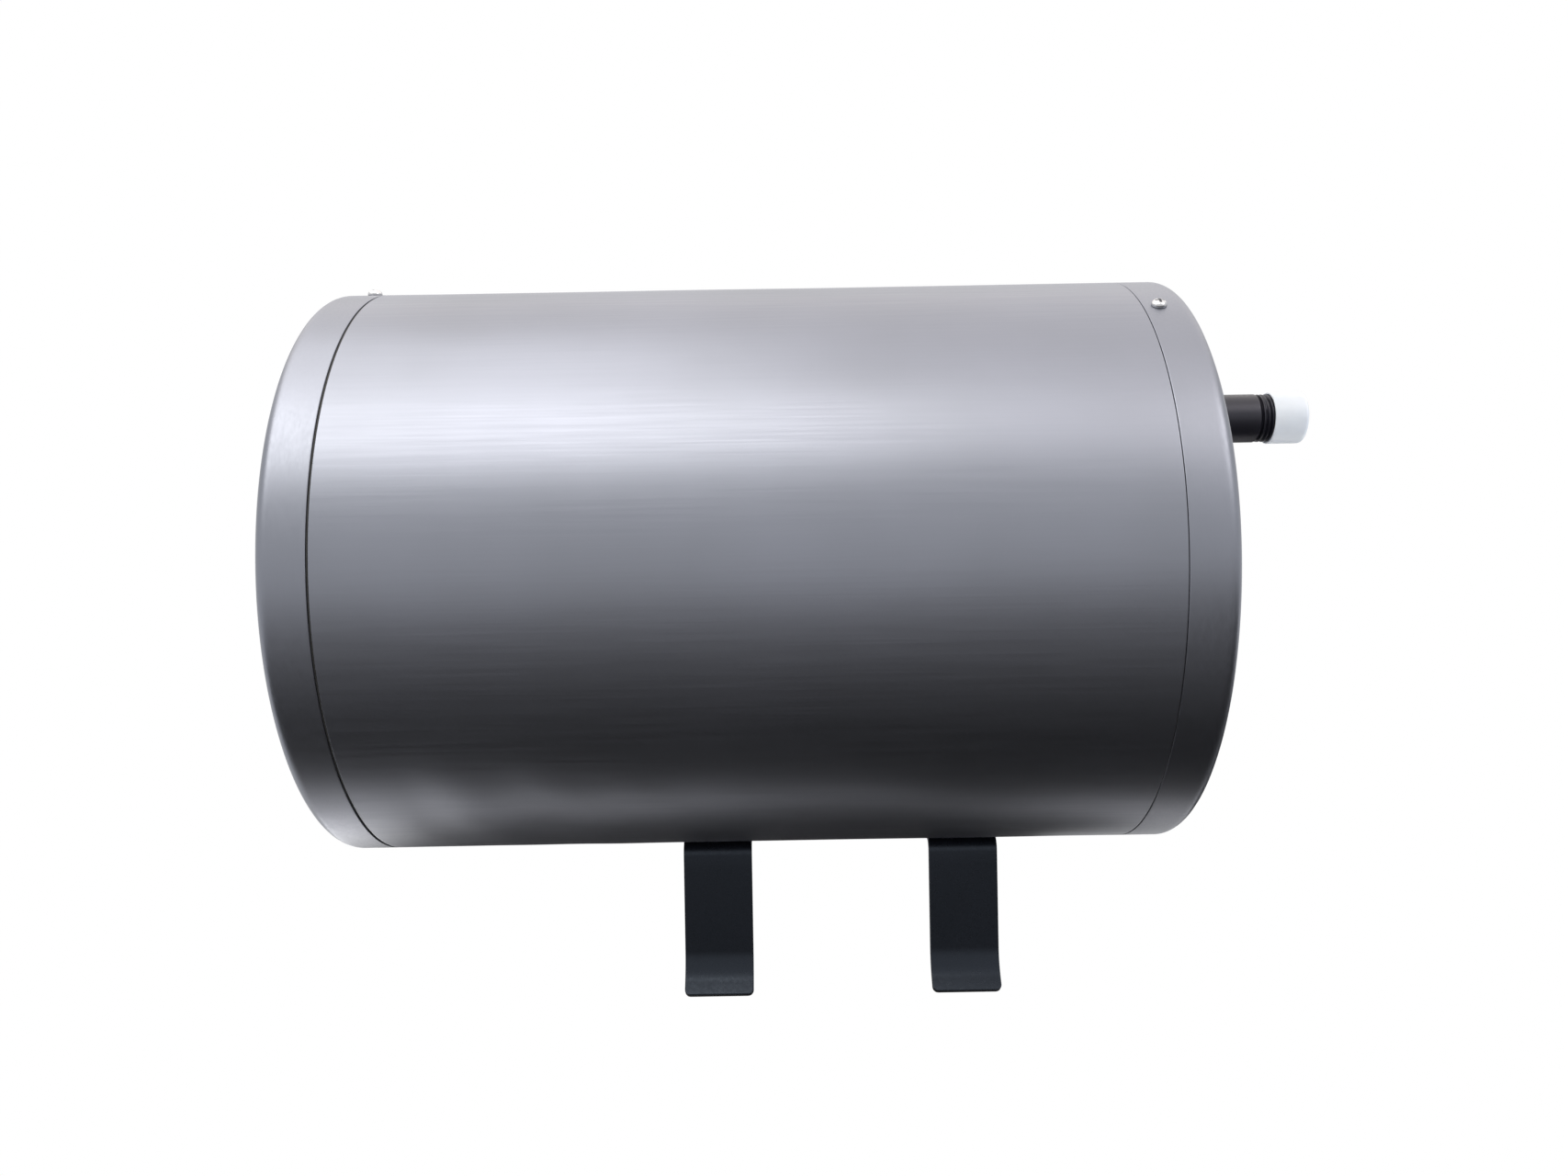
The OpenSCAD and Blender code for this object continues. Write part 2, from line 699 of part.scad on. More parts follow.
// The closed tube that keeps the thermostat rod dry
module thermostat_pocket() color("silver") {
    end = gasket_face + rod_len + pocket_end_room;
    difference() {
        bar_x(pocket_r, plate_face, end + pocket_end_t, 0, pocket_rise);
        bar_x(pocket_r - pocket_wall, plate_face - past, end, 0, pocket_rise);
    }
}

module thermostat_rod() color("goldenrod")
    bar_x(rod_d / 2, plate_face, gasket_face + rod_len, 0, pocket_rise);

// The thermostat's switch box, on the flange plate
module thermostat_housing() color("whitesmoke") difference() {
    translate([housing_face, -housing_half_w, 0])
        cube([housing_depth - seat_gap, 2 * housing_half_w, housing_h]);
    dial_end = housing_face + dial_seat + loose_gap;
    reset_end = housing_face + reset_seat;
    bar_x(dial_shaft_d / 2 + run_gap, housing_face - past, dial_end, 0, dial_rise);
    bar_x(reset_d / 2 + run_gap, housing_face - past, reset_end, reset_place[0], reset_place[1]);
}

// The temperature dial, with a screwdriver slot
module thermostat_dial() color("firebrick") difference() {
    outer = housing_face - loose_gap - dial_t;
    slot_len = 0.7 * dial_d;
    union() {
        bar_x(dial_shaft_d / 2, outer, housing_face + dial_seat, 0, dial_rise);
        bar_x(dial_d / 2, outer, housing_face - loose_gap, 0, dial_rise);
    }
    translate([outer - past, -dial_slot_w / 2, dial_rise - slot_len / 2])
        cube([dial_slot_t + past, dial_slot_w, slot_len]);
}

// The reset button of the thermal cut-out
module thermostat_reset_button() color("red") {
    outer = housing_face - reset_travel - reset_proud;
    inner = housing_face + reset_seat - reset_travel - loose_gap;
    bar_x(reset_d / 2, outer, inner, reset_place[0], reset_place[1]);
}

module anode_rod() color("darkgray") {
    bar_x(anode_d / 2, gasket_face + seat_gap, gasket_face + anode_len, 0, anode_drop);
    bar_x(anode_stud_d / 2, plate_face - anode_nut_t - stud_tail, gasket_face + past, 0, anode_drop);
}

module anode_nut() color("gray") difference() {
    hex_x(anode_hex, plate_face - anode_nut_t, plate_face - seat_gap, 0, anode_drop);
    plate_nut_hole(anode_stud_d / 2, anode_nut_t, anode_drop);
}

// A clear hole through a nut on the outside of the flange plate
module plate_nut_hole(r, len, z) bar_x(r + seat_gap, plate_face - len - past, plate_face + past, 0, z);

module earth_stud() color("goldenrod")
    bar_x(earth_d / 2, plate_face - 2 * earth_nut_pitch - stud_tail, gasket_face, 0, earth_drop);

module earth_nuts() color("goldenrod") for (i = [0, 1]) difference() {
    outer = plate_face - seat_gap - i * earth_nut_pitch;
    hex_x(earth_hex, outer - earth_nut_t, outer, 0, earth_drop);
    plate_nut_hole(earth_d / 2, 2 * earth_nut_pitch, earth_drop);
}

// The foam sleeve round the tank, with pockets for the strap nuts
module insulation_jacket() color("khaki") difference() {
    tube_x(jacket_r, tank_r + loose_gap, tank_left, tank_right);
    for (x = strap_places, a = hanger_angles) outwards(a, x)
        translate([0, 0, hanger_nut_top - hanger_nut_t - hanger_tail - nut_pocket_room])
            cylinder(d = hanger_nut_d + 2 * nut_pocket_room, h = hole_span);
}

// The space that a right head takes, with a gap round it
module head_space() rotate([0, 90, 0]) rotate_extrude() intersection() {
    translate([0, tank_right + head_rise - head_r]) circle(head_r + loose_gap);
    translate([0, tank_right - past]) square([drum_r, head_rise + 2 * past]);
}

module insulation_right_disc() color("khaki") difference() {
    bar_x(disc_r, tank_right + loose_gap, rim_face - cap_rim_r);
    head_space();
    for (z = [-pipe_offset, pipe_offset]) bar_x(pipe_r + loose_gap, tank_right, rim_face, 0, z);
}

module insulation_left_ring() color("khaki") difference() {
    bar_x(disc_r, plate_face, tank_left - loose_gap);
    at_left_end() head_space();
    bar_x(flange_r + foam_flange_room, plate_face - past, tank_left);
}

// Moves a gland piece to its place on the left cap
module at_gland() translate([0, gland_place[0], gland_place[1]]) children();

// The gland's threaded body in the left cap
module cable_gland_body() color([0.15, 0.15, 0.16]) at_gland() difference() {
    mouth = -panel_face - gland_hex_t - gland_stub;
    union() {
        bar_x(gland_r, mouth, gland_tail - panel_inside);
        hex_x(gland_flats, -panel_face - gland_hex_t, -panel_face - seat_gap);
    }
    bar_x(gland_r - gland_wall, mouth - past, -panel_face);
    bar_x(gland_bore / 2, -panel_face - past, gland_tail - panel_inside + past);
}

// The rubber seal that grips the cable
module cable_gland_seal() color("black") at_gland() {
    outer = gland_r - gland_wall - seat_gap;
    tube_x(outer, gland_bore / 2, -panel_face - gland_hex_t - gland_stub, -panel_face - seat_gap);
}

// The domed clamp nut on the gland
module cable_gland_nut() color([0.15, 0.15, 0.16]) at_gland() difference() {
    base = -panel_face - gland_hex_t - seat_gap;
    outer = base - gland_nut_len;
    union() {
        hex_x(gland_flats, outer + gland_dome, base);
        turned([
            [0, outer], [gland_flats / 2 - gland_dome + past, outer], [gland_flats / 2, outer + gland_dome],
            [gland_flats / 2, outer + gland_dome + past], [0, outer + gland_dome + past]
        ]);
    }
    bar_x(gland_r + seat_gap, base - gland_stub - loose_gap, base + past);
    bar_x(gland_bore / 2, outer - past, base);
}

// The flat locknut inside the left cap
module cable_gland_locknut() color([0.15, 0.15, 0.16]) at_gland() difference() {
    hex_x(gland_flats, seat_gap - panel_inside, locknut_t - panel_inside);
    bar_x(gland_r + seat_gap, -panel_inside - past, locknut_t - panel_inside + past);
}

in_wall_frame() drum_shell();
in_wall_frame() joint_strip();
in_wall_frame() joint_rivet_set();
in_wall_frame() left_end_cap();
in_wall_frame() right_end_cap();
in_wall_frame() left_cap_screws();
in_wall_frame() right_cap_screws();
in_wall_frame() left_hanger_strap();
in_wall_frame() right_hanger_strap();
in_wall_frame() hanger_screws();
in_wall_frame() hanger_nuts();
in_wall_frame() hot_outlet_pipe();
in_wall_frame() hot_outlet_cover();
in_wall_frame() hot_pickup_tube();
in_wall_frame() cold_inlet_pipe();
in_wall_frame() cold_inlet_spreader();
in_wall_frame() outlet_grommet();
in_wall_frame() inlet_grommet();
in_wall_frame() tank_shell();
in_wall_frame() tank_left_head();
in_wall_frame() tank_right_head();
in_wall_frame() tank_neck();
in_wall_frame() flange_gasket();
in_wall_frame() flange_plate();
in_wall_frame() flange_bolts();
in_wall_frame() heating_element();
in_wall_frame() element_terminals();
in_wall_frame() thermostat_pocket();
in_wall_frame() thermostat_housing();
in_wall_frame() thermostat_rod();
in_wall_frame() thermostat_dial();
in_wall_frame() thermostat_reset_button();
in_wall_frame() anode_rod();
in_wall_frame() anode_nut();
in_wall_frame() earth_stud();
in_wall_frame() earth_nuts();
in_wall_frame() insulation_jacket();
in_wall_frame() insulation_left_ring();
in_wall_frame() insulation_right_disc();
in_wall_frame() cable_gland_body();
in_wall_frame() cable_gland_seal();
in_wall_frame() cable_gland_nut();
in_wall_frame() cable_gland_locknut();
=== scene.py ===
"""Looks of a caravan water heater: satin drum, pressed end caps, bent straps and threaded pipes.

Pieces are worked out in millimetres in the drum's own frame, with X along its axis towards the
pipes, Y to the wall and Z up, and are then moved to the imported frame, in metres. An outline's
corner is given as two coordinates and a fillet, which for a turned piece are radius, x and fillet.
"""

from __future__ import annotations

import logging
import math
from collections.abc import Callable, Sequence
from dataclasses import dataclass, field
from enum import Enum

import bpy
import numpy as np
from mathutils import Matrix

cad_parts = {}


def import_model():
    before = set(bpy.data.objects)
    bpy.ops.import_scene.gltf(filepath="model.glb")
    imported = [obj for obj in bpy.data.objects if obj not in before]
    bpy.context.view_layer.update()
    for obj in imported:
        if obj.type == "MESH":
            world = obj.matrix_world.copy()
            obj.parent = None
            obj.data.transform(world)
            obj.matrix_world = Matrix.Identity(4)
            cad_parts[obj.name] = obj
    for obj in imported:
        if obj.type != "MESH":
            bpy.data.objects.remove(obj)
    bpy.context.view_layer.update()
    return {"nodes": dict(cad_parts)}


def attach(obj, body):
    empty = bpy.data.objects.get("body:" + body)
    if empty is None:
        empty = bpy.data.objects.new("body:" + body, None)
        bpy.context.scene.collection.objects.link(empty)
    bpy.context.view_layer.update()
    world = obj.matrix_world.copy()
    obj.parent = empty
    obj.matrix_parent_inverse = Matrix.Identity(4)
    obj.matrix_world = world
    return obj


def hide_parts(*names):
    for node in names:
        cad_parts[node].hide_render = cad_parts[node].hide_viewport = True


Array = np.ndarray
Corner = tuple[float, float, float]
Place = tuple[float, float, float]
Outline = tuple[tuple[float, float], ...]
Move = Callable[[Array], Array]
Radius = Callable[[Array, Array, Array], Array]

log = logging.getLogger("water_heater")

MM = 0.001

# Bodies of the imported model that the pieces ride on.
HEATER, OUTLET_COVER = "heater", "outlet_cover"

# Sizes that several pieces share, in millimetres: the drum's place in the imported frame, its radius
# and sheet, the face of a cap's panel, and the gap that keeps neighbours apart.
DRUM_FROM_WALL = np.array([-35.0, -123.15, -137.0])
DRUM_R = 120.0
SHEET = 1.0
PANEL_X = 176.8
OUTLET_Z = 62.0
GAP = 0.05

# Steps round the drum and its caps, whose seams have to lie on each other, and round six-sided
# pieces, whose corners have to lie on a step.
DRUM_STEPS = 320
HEX_STEPS = 144

# Detail of the noise textures, and the span that holds nearly all of their values.
NOISE_DETAIL = 3.0
NOISE_LOW, NOISE_HIGH = 0.3, 0.7

# Socket numbers of the two colours of a colour mix, and of its result.
MIX_A, MIX_B, MIX_RESULT = 6, 7, 2


def in_wall_frame(points: Array) -> Array:
    """Moves points from the drum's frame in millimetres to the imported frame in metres.

    Args:
        points: Places in the drum's frame, in millimetres.

    Returns:
        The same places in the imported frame, in metres.
    """
    return (points + DRUM_FROM_WALL) * MM


def linear(colour: str) -> tuple[float, float, float, float]:
    """Turns an sRGB hex colour to linear light, by the sRGB standard's curve.

    Args:
        colour: A colour such as "#8a8b90".

    Returns:
        Red, green, blue and a full alpha.
    """
    srgb = np.array([int(colour[i : i + 2], 16) for i in (1, 3, 5)]) / 255
    light = np.where(srgb <= 0.04045, srgb / 12.92, ((srgb + 0.055) / 1.055) ** 2.4)
    return (*light.tolist(), 1.0)


def add_node(
    tree: bpy.types.NodeTree,
    kind: str,
    inputs: dict[str | int, object] | None = None,
    **settings: object,
) -> bpy.types.Node:
    """Adds one node with its settings, values and links.

    Args:
        tree: The tree that gets the node.
        kind: The node's type name.
        inputs: Socket name or number to a value, or to the output socket that feeds it.
        **settings: The node's own properties.

    Returns:
        The new node.
    """
    node = tree.nodes.new(kind)
    for name, value in settings.items():
        setattr(node, name, value)
    for key, value in (inputs or {}).items():
        if isinstance(value, bpy.types.NodeSocket):
            tree.links.new(value, node.inputs[key])
        else:
            node.inputs[key].default_value = value
    return node


class Grain(Enum):
    """How many times longer the fine pattern of a finish is along X, Y and Z than it is wide."""

    EVEN = (1.0, 1.0, 1.0)
    ALONG_X = (60.0, 1.0, 1.0)
    ALONG_Z = (1.0, 1.0, 40.0)


@dataclass(frozen=True)
class Finish:
    """A real material with its surface, as two tones, a fine grain and a wide mottle.

    Attributes:
        name: The material's common name.
        slot: The record's slot that it belongs to; not used here.
        colour: Main sRGB colour.
        tone: Second sRGB colour, which the mottle brings in.
        roughness: Least and greatest roughness, spread by the grain.
        metallic: 1 for bare metal and 0 for anything else.
        grain_mm: Width of the fine grain.
        grain: Direction of the fine grain.
        relief_mm: Height of the fine grain.
        mottle_mm: Size of the wide mottle.
        fixed: Shader sockets that are the same all over the surface.
    """

    name: str
    slot: str
    colour: str
    tone: str
    roughness: tuple[float, float]
    metallic: float = 0.0
    grain_mm: float = 1.0
    grain: Grain = Grain.EVEN
    relief_mm: float = 0.01
    mottle_mm: float = 40.0
    fixed: tuple[tuple[str, float | tuple[float, ...]], ...] = ()

    def make(self) -> bpy.types.Material:
        """Builds the material: grain drives roughness and relief, mottle drives colour.

        Returns:
            The new material.
        """
        material = bpy.data.materials.new(self.name)
        material.use_nodes = True
        tree = material.node_tree
        shader = tree.nodes["Principled BSDF"]
        shader.inputs["Metallic"].default_value = self.metallic
        for socket, value in self.fixed:
            shader.inputs[socket].default_value = value
        place = add_node(tree, "ShaderNodeTexCoord").outputs["Object"]
        fine_scale = tuple(1 / (stretch * self.grain_mm * MM) for stretch in self.grain.value)
        fine = add_node(tree, "ShaderNodeMapping", {"Vector": place, "Scale": fine_scale})
        grain = add_node(
            tree,
            "ShaderNodeTexNoise",
            {"Vector": fine.outputs[0], "Scale": 1.0, "Detail": NOISE_DETAIL},
        )
        mottle = add_node(
            tree,
            "ShaderNodeTexNoise",
            {"Vector": place, "Scale": 1 / (self.mottle_mm * MM), "Detail": NOISE_DETAIL},
        )
        span = {"From Min": NOISE_LOW, "From Max": NOISE_HIGH}
        share = add_node(tree, "ShaderNodeMapRange", {"Value": mottle.outputs[0], **span})
        tint = add_node(
            tree,
            "ShaderNodeMix",
            {0: share.outputs[0], MIX_A: linear(self.colour), MIX_B: linear(self.tone)},
            data_type="RGBA",
        )
        least, greatest = self.roughness
        rough = add_node(
            tree,
            "ShaderNodeMapRange",
            {"Value": grain.outputs[0], **span, "To Min": least, "To Max": greatest},
        )
        relief = add_node(
            tree,
            "ShaderNodeBump",
            {"Height": grain.outputs[0], "Distance": self.relief_mm * MM, "Strength": 1.0},
        )
        tree.links.new(tint.outputs[MIX_RESULT], shader.inputs["Base Color"])
        tree.links.new(rough.outputs[0], shader.inputs["Roughness"])
        tree.links.new(relief.outputs[0], shader.inputs["Normal"])
        return material


@dataclass
class Workshop:
    """Makes each finish once and hands out its material.

    Attributes:
        made: The materials made so far, by name.
    """

    made: dict[str, bpy.types.Material] = field(default_factory=dict)

    def material(self, finish: Finish) -> bpy.types.Material:
        """Gives the material of a finish.

        Args:
            finish: The finish to use.

        Returns:
            Its material, made at the first call.
        """
        if finish.name not in self.made:
            self.made[finish.name] = finish.make()
        return self.made[finish.name]


# Gunmetal-tinted steel sheet, finely brushed along the drum under a thin clear lacquer: a satin
# metal whose highlights spread softly. Its brush lines are about 0.2 mm apart, drawn at 0.9 mm so
# that they show.
DRUM_SHEET = Finish(
    "brushed_gunmetal_steel", "casing_enamel", "#80838c", "#858892", (0.34, 0.42), metallic=1.0,
    grain_mm=0.9, grain=Grain.ALONG_X, relief_mm=0.014, mottle_mm=70.0,
)
# The same sheet pressed into caps, brushed across the drum, so its lines run round the skirt. They
# are drawn as coarse as the drum's.
CAP_SHEET = Finish(
    "pressed_gunmetal_steel", "casing_enamel", "#7f828b", "#858892", (0.35, 0.42), metallic=1.0,
    grain_mm=0.9, grain=Grain.ALONG_Z, relief_mm=0.010, mottle_mm=60.0,
)
# Blue-black stoving enamel on flat bar: half-glossy, with the faint orange peel of sprayed paint.
STRAP_ENAMEL = Finish(
    "black_stoving_enamel", "strap_enamel", "#08090d", "#0b0c11", (0.26, 0.34),
    grain_mm=1.6, relief_mm=0.005, mottle_mm=30.0,
    fixed=(
        # The blue specular tint paints a blue cast into its reflections, standing in for sky light.
        ("IOR", 1.5), ("Specular IOR Level", 0.42), ("Specular Tint", (0.68, 0.80, 1.0, 1.0)),
    ),
)
# The same enamel on steel pipe, duller where it is handled.
PIPE_ENAMEL = Finish(
    "black_pipe_enamel", "pipe_enamel", "#0c0c12", "#101017", (0.32, 0.42),
    grain_mm=1.2, relief_mm=0.010, mottle_mm=18.0,
    fixed=(
        ("IOR", 1.5), ("Specular IOR Level", 0.50), ("Specular Tint", (0.86, 0.86, 1.0, 1.0)),
    ),
)
# Bright zinc plate on small screws: mirror-like with fine tumbling marks.
ZINC_PLATE = Finish(
    "bright_zinc_plate", "zinc_steel", "#c9c9cb", "#b9babd", (0.16, 0.26), metallic=1.0,
    grain_mm=0.5, relief_mm=0.0012, mottle_mm=4.0,
)
# Moulded polythene under a millimetre thick: milky, waxy and cool white, with what lies close
# behind it shining through.
POLYTHENE = Finish(
    "milky_polythene", "cover_polythene", "#d9e1f0", "#d2dbec", (0.30, 0.42),
    grain_mm=1.5, grain=Grain.ALONG_X, relief_mm=0.010, mottle_mm=9.0,
    fixed=(
        ("IOR", 1.51), ("Transmission Weight", 0.12), ("Subsurface Weight", 0.9),
        ("Subsurface Radius", (1.0, 1.0, 1.0)), ("Subsurface Scale", 0.0028),
    ),
)
# Mill-finish stainless sheet: dull silver with rolling marks.
STAINLESS = Finish(
    "mill_stainless_steel", "stainless_steel", "#b3b2b0", "#a5a4a2", (0.28, 0.42), metallic=1.0,
    grain_mm=0.8, grain=Grain.ALONG_X, relief_mm=0.003, mottle_mm=35.0,
)
# Moulded black rubber: matte with a faint bloom. The drum's seam rings also take it, as painted
# shade.
RUBBER = Finish(
    "moulded_rubber", "black_rubber", "#1b1b1b", "#242423", (0.62, 0.78),
    grain_mm=0.6, relief_mm=0.020, mottle_mm=8.0, fixed=(("IOR", 1.52),),
)
# Drawn copper sheath: dull red metal with oxide patches.
COPPER = Finish(
    "drawn_copper", "element_copper", "#b87a5c", "#9a5f47", (0.30, 0.46), metallic=1.0,
    grain_mm=0.6, grain=Grain.ALONG_X, relief_mm=0.003, mottle_mm=14.0,
)
# Glazed ceramic beads: warm white with a clear gloss.
CERAMIC = Finish(
    "glazed_ceramic", "terminal_ceramic", "#efece4", "#e4e0d6", (0.12, 0.22),
    relief_mm=0.004, mottle_mm=5.0, fixed=(("IOR", 1.55),),
)
# Phenolic moulding: off-white, half-matte and slightly speckled.
PHENOLIC = Finish(
    "phenolic_moulding", "thermostat_plastic", "#d9d6cc", "#cdc9bd", (0.42, 0.55),
    grain_mm=0.7, relief_mm=0.012, mottle_mm=6.0, fixed=(("IOR", 1.55),),
)
# Moulded ABS of the dial and button: signal red with a soft gloss.
RED_ABS = Finish(
    "red_abs", "dial_plastic", "#b3221d", "#a31c18", (0.28, 0.38),
    grain_mm=0.6, relief_mm=0.008, mottle_mm=6.0, fixed=(("IOR", 1.54),),
)
# Turned brass: yellow metal with fine tool marks.
BRASS = Finish(
    "turned_brass", "brass", "#c6a355", "#b08f46", (0.22, 0.34), metallic=1.0,
    grain_mm=0.4, relief_mm=0.003, mottle_mm=6.0,
)
# Cast magnesium of the anode: dull grey and a little rough.
MAGNESIUM = Finish(
    "cast_magnesium", "anode_magnesium", "#a9abad", "#94969a", (0.45, 0.62), metallic=1.0,
    grain_mm=1.4, relief_mm=0.030, mottle_mm=12.0,
)
# Rigid polyurethane foam: pale yellow and matte, with fine cells.
FOAM = Finish(
    "rigid_polyurethane_foam", "foam", "#e4d3a0", "#d7c48c", (0.80, 0.95),
    grain_mm=1.2, relief_mm=0.15, mottle_mm=30.0, fixed=(("IOR", 1.45),),
)
# Glass-filled nylon of the cable gland: black and half-matte, with a faint flow pattern.
NYLON = Finish(
    "glass_filled_nylon", "gland_nylon", "#1e1e20", "#27272a", (0.45, 0.58),
    grain_mm=0.5, relief_mm=0.015, mottle_mm=7.0, fixed=(("IOR", 1.53),),
)


@dataclass
class Surface:
    """A closed surface in the drum's frame, as points with four-sided and three-sided faces.

    Attributes:
        points: Places, one row each.
        quads: Point numbers of the four-sided faces.
        tris: Point numbers of the three-sided faces.
    """

    points: Array
    quads: Array
    tris: Array

    def outward(self) -> Surface:
        """Turns the faces outwards, by the sign of the volume that they enclose.

        Returns:
            This surface, with every face turned round if that volume was negative.
        """
        halves = np.concatenate([self.quads[:, :3], self.quads[:, [0, 2, 3]], self.tris])
        a, b, c = (self.points[halves[:, i]] for i in range(3))
        if np.einsum("ij,ij->", a, np.cross(b, c)) < 0:
            self.quads = self.quads[:, ::-1]
            self.tris = self.tris[:, ::-1]
        return self

    def moved(self, place: Move) -> Surface:
        """Gives a copy with its points put through a function, facing outwards."""
        return Surface(place(self.points), self.quads, self.tris).outward()

    @staticmethod
    def joined(parts: Sequence[Surface]) -> Surface:
        """Puts several surfaces in one.

        Args:
            parts: The surfaces.

        Returns:
            One surface with all their points and faces.
        """
        starts = np.cumsum([0] + [len(p.points) for p in parts[:-1]])
        return Surface(
            np.concatenate([p.points for p in parts]),
            np.concatenate([p.quads + s for p, s in zip(parts, starts)]),
            np.concatenate([p.tris + s for p, s in zip(parts, starts)]),
        )


def skin(loops: Array, ring: bool) -> Surface:
    """Joins a grid of points into a closed skin.

    Row i is a closed loop, and quads join point (i, j) to (i, j + 1), (i + 1, j + 1) and
    (i + 1, j). A ring's last loop joins its first. Otherwise a fan about its mean point closes each
    end loop.

    Args:
        loops: Points as rows, columns and coordinates.
        ring: Whether the last loop joins the first.

    Returns:
        The skin, facing outwards.
    """
    rows, cols = loops.shape[:2]
    index = np.arange(rows * cols).reshape(rows, cols)
    near = index if ring else index[:-1]
    far = np.roll(index, -1, 0) if ring else index[1:]
    quads = np.stack([near, np.roll(near, -1, 1), np.roll(far, -1, 1), far], -1).reshape(-1, 4)
    points = loops.reshape(-1, 3)
    if ring:
        return Surface(points, quads, np.zeros((0, 3), int)).outward()
    first, last = index[0], index[-1]
    hub = np.full(cols, rows * cols)
    start_fan = np.stack([hub, np.roll(first, -1), first], -1)
    end_fan = np.stack([hub + 1, last, np.roll(last, -1)], -1)
    points = np.concatenate([points, loops[[0, -1]].mean(1)])
    return Surface(points, quads, np.concatenate([start_fan, end_fan])).outward()


def rounded(
    corners: Sequence[Corner], closed: bool, steps: int = 6, spare_share: float = 0.2
) -> Array:
    """Rounds the corners of a flat outline.

    At a corner p with unit vectors a and b to its neighbours and half angle g between them, an arc
    of radius f touches both sides at p + a f / tan g and p + b f / tan g, about
    p + (a + b) f / (|a + b| sin g). A spare point a little before and after each arc keeps the
    flats beside it flat in the shading.

    Args:
        corners: Two coordinates and a fillet radius for each corner.
        closed: Whether the last corner joins the first.
        steps: Number of arc segments at each corner.
        spare_share: Distance of the spare points from the arc, as a share of its radius.

    Returns:
        The outline's points, one row each.
    """
    points = np.array([c[:2] for c in corners], float)
    outline: list[Array] = []
    for i, (_, _, fillet) in enumerate(corners):
        p = points[i]
        if fillet <= 0 or (not closed and i in (0, len(corners) - 1)):
            outline.append(p[None])
            continue
        to_last = points[i - 1] - p
        to_next = points[(i + 1) % len(points)] - p
        a, b = to_last / np.linalg.norm(to_last), to_next / np.linalg.norm(to_next)
        half = math.acos(float(np.clip(a @ b, -1, 1))) / 2
        reach = fillet / math.tan(half)
        centre = p + (a + b) / np.linalg.norm(a + b) * fillet / math.sin(half)
        start, end = p + a * reach - centre, p + b * reach - centre
        turn = math.atan2(start[0] * end[1] - start[1] * end[0], start @ end)
        angle = np.linspace(0, turn, steps + 1)[:, None]
        arc = centre + start * np.cos(angle) + np.array([-start[1], start[0]]) * np.sin(angle)
        spare = spare_share * fillet
        outline.append(np.concatenate([[arc[0] + a * spare], arc, [arc[-1] + b * spare]]))
    return np.concatenate(outline)


def turned(
    profile: Array,
    ring: bool,
    axis: tuple[float, float] = (0.0, 0.0),
    segments: int = 96,
    radius: Radius | None = None,
) -> Surface:
    """Carries a profile round a line along X.

    A profile point of radius r and place x goes to (x, -r cos t, r sin t) for each angle t.

    Args:
        profile: Radius and x, one row each.
        ring: Whether the profile is a closed loop.
        axis: Y and Z of the line.
        segments: Number of steps round.
        radius: Gives the radius from radius, x and angle, for shapes that aren't quite round.

    Returns:
        The turned skin.
    """
    angle = np.arange(segments) * (2 * np.pi / segments)
    r, x, t = np.broadcast_arrays(profile[:, :1], profile[:, 1:], angle[None])
    if radius is not None:
        r = radius(r, x, t)
    return skin(np.stack([x, axis[0] - r * np.cos(t), axis[1] + r * np.sin(t)], -1), ring)


def six_sided(flats: float) -> Radius:
    """Gives the radius of a six-sided bar that a cone or dome may cut into.

    A flat lies at flats / 2 / cos(u), with u the angle from the middle of the nearest flat, and the
    profile's own radius holds wherever it is smaller.

    Args:
        flats: Size across flats.

    Returns:
        The radius from radius, x and angle.
    """
    half_side = np.pi / 6

    def radius(r: Array, _x: Array, t: Array) -> Array:
        """Takes the smaller of the profile and the flats."""
        off = (t + half_side) % (2 * half_side) - half_side
        return np.minimum(r, flats / 2 / np.cos(off))

    return radius


def outwards(angle_deg: float, x: float) -> Move:
    """Stands a piece, turned about X, on the drum.

    The piece's X goes straight out of the drum at an angle above its front, and its Y goes along
    the drum.

    Args:
        angle_deg: Angle above the front.
        x: Place along the drum.

    Returns:
        A function that moves points.
    """
    a = math.radians(angle_deg)
    out = np.array([0.0, -math.cos(a), math.sin(a)])
    round_way = np.array([0.0, -math.sin(a), -math.cos(a)])
    along = np.array([1.0, 0.0, 0.0])
    return lambda p: x * along + p[:, :1] * out + p[:, 1:2] * along + p[:, 2:] * round_way


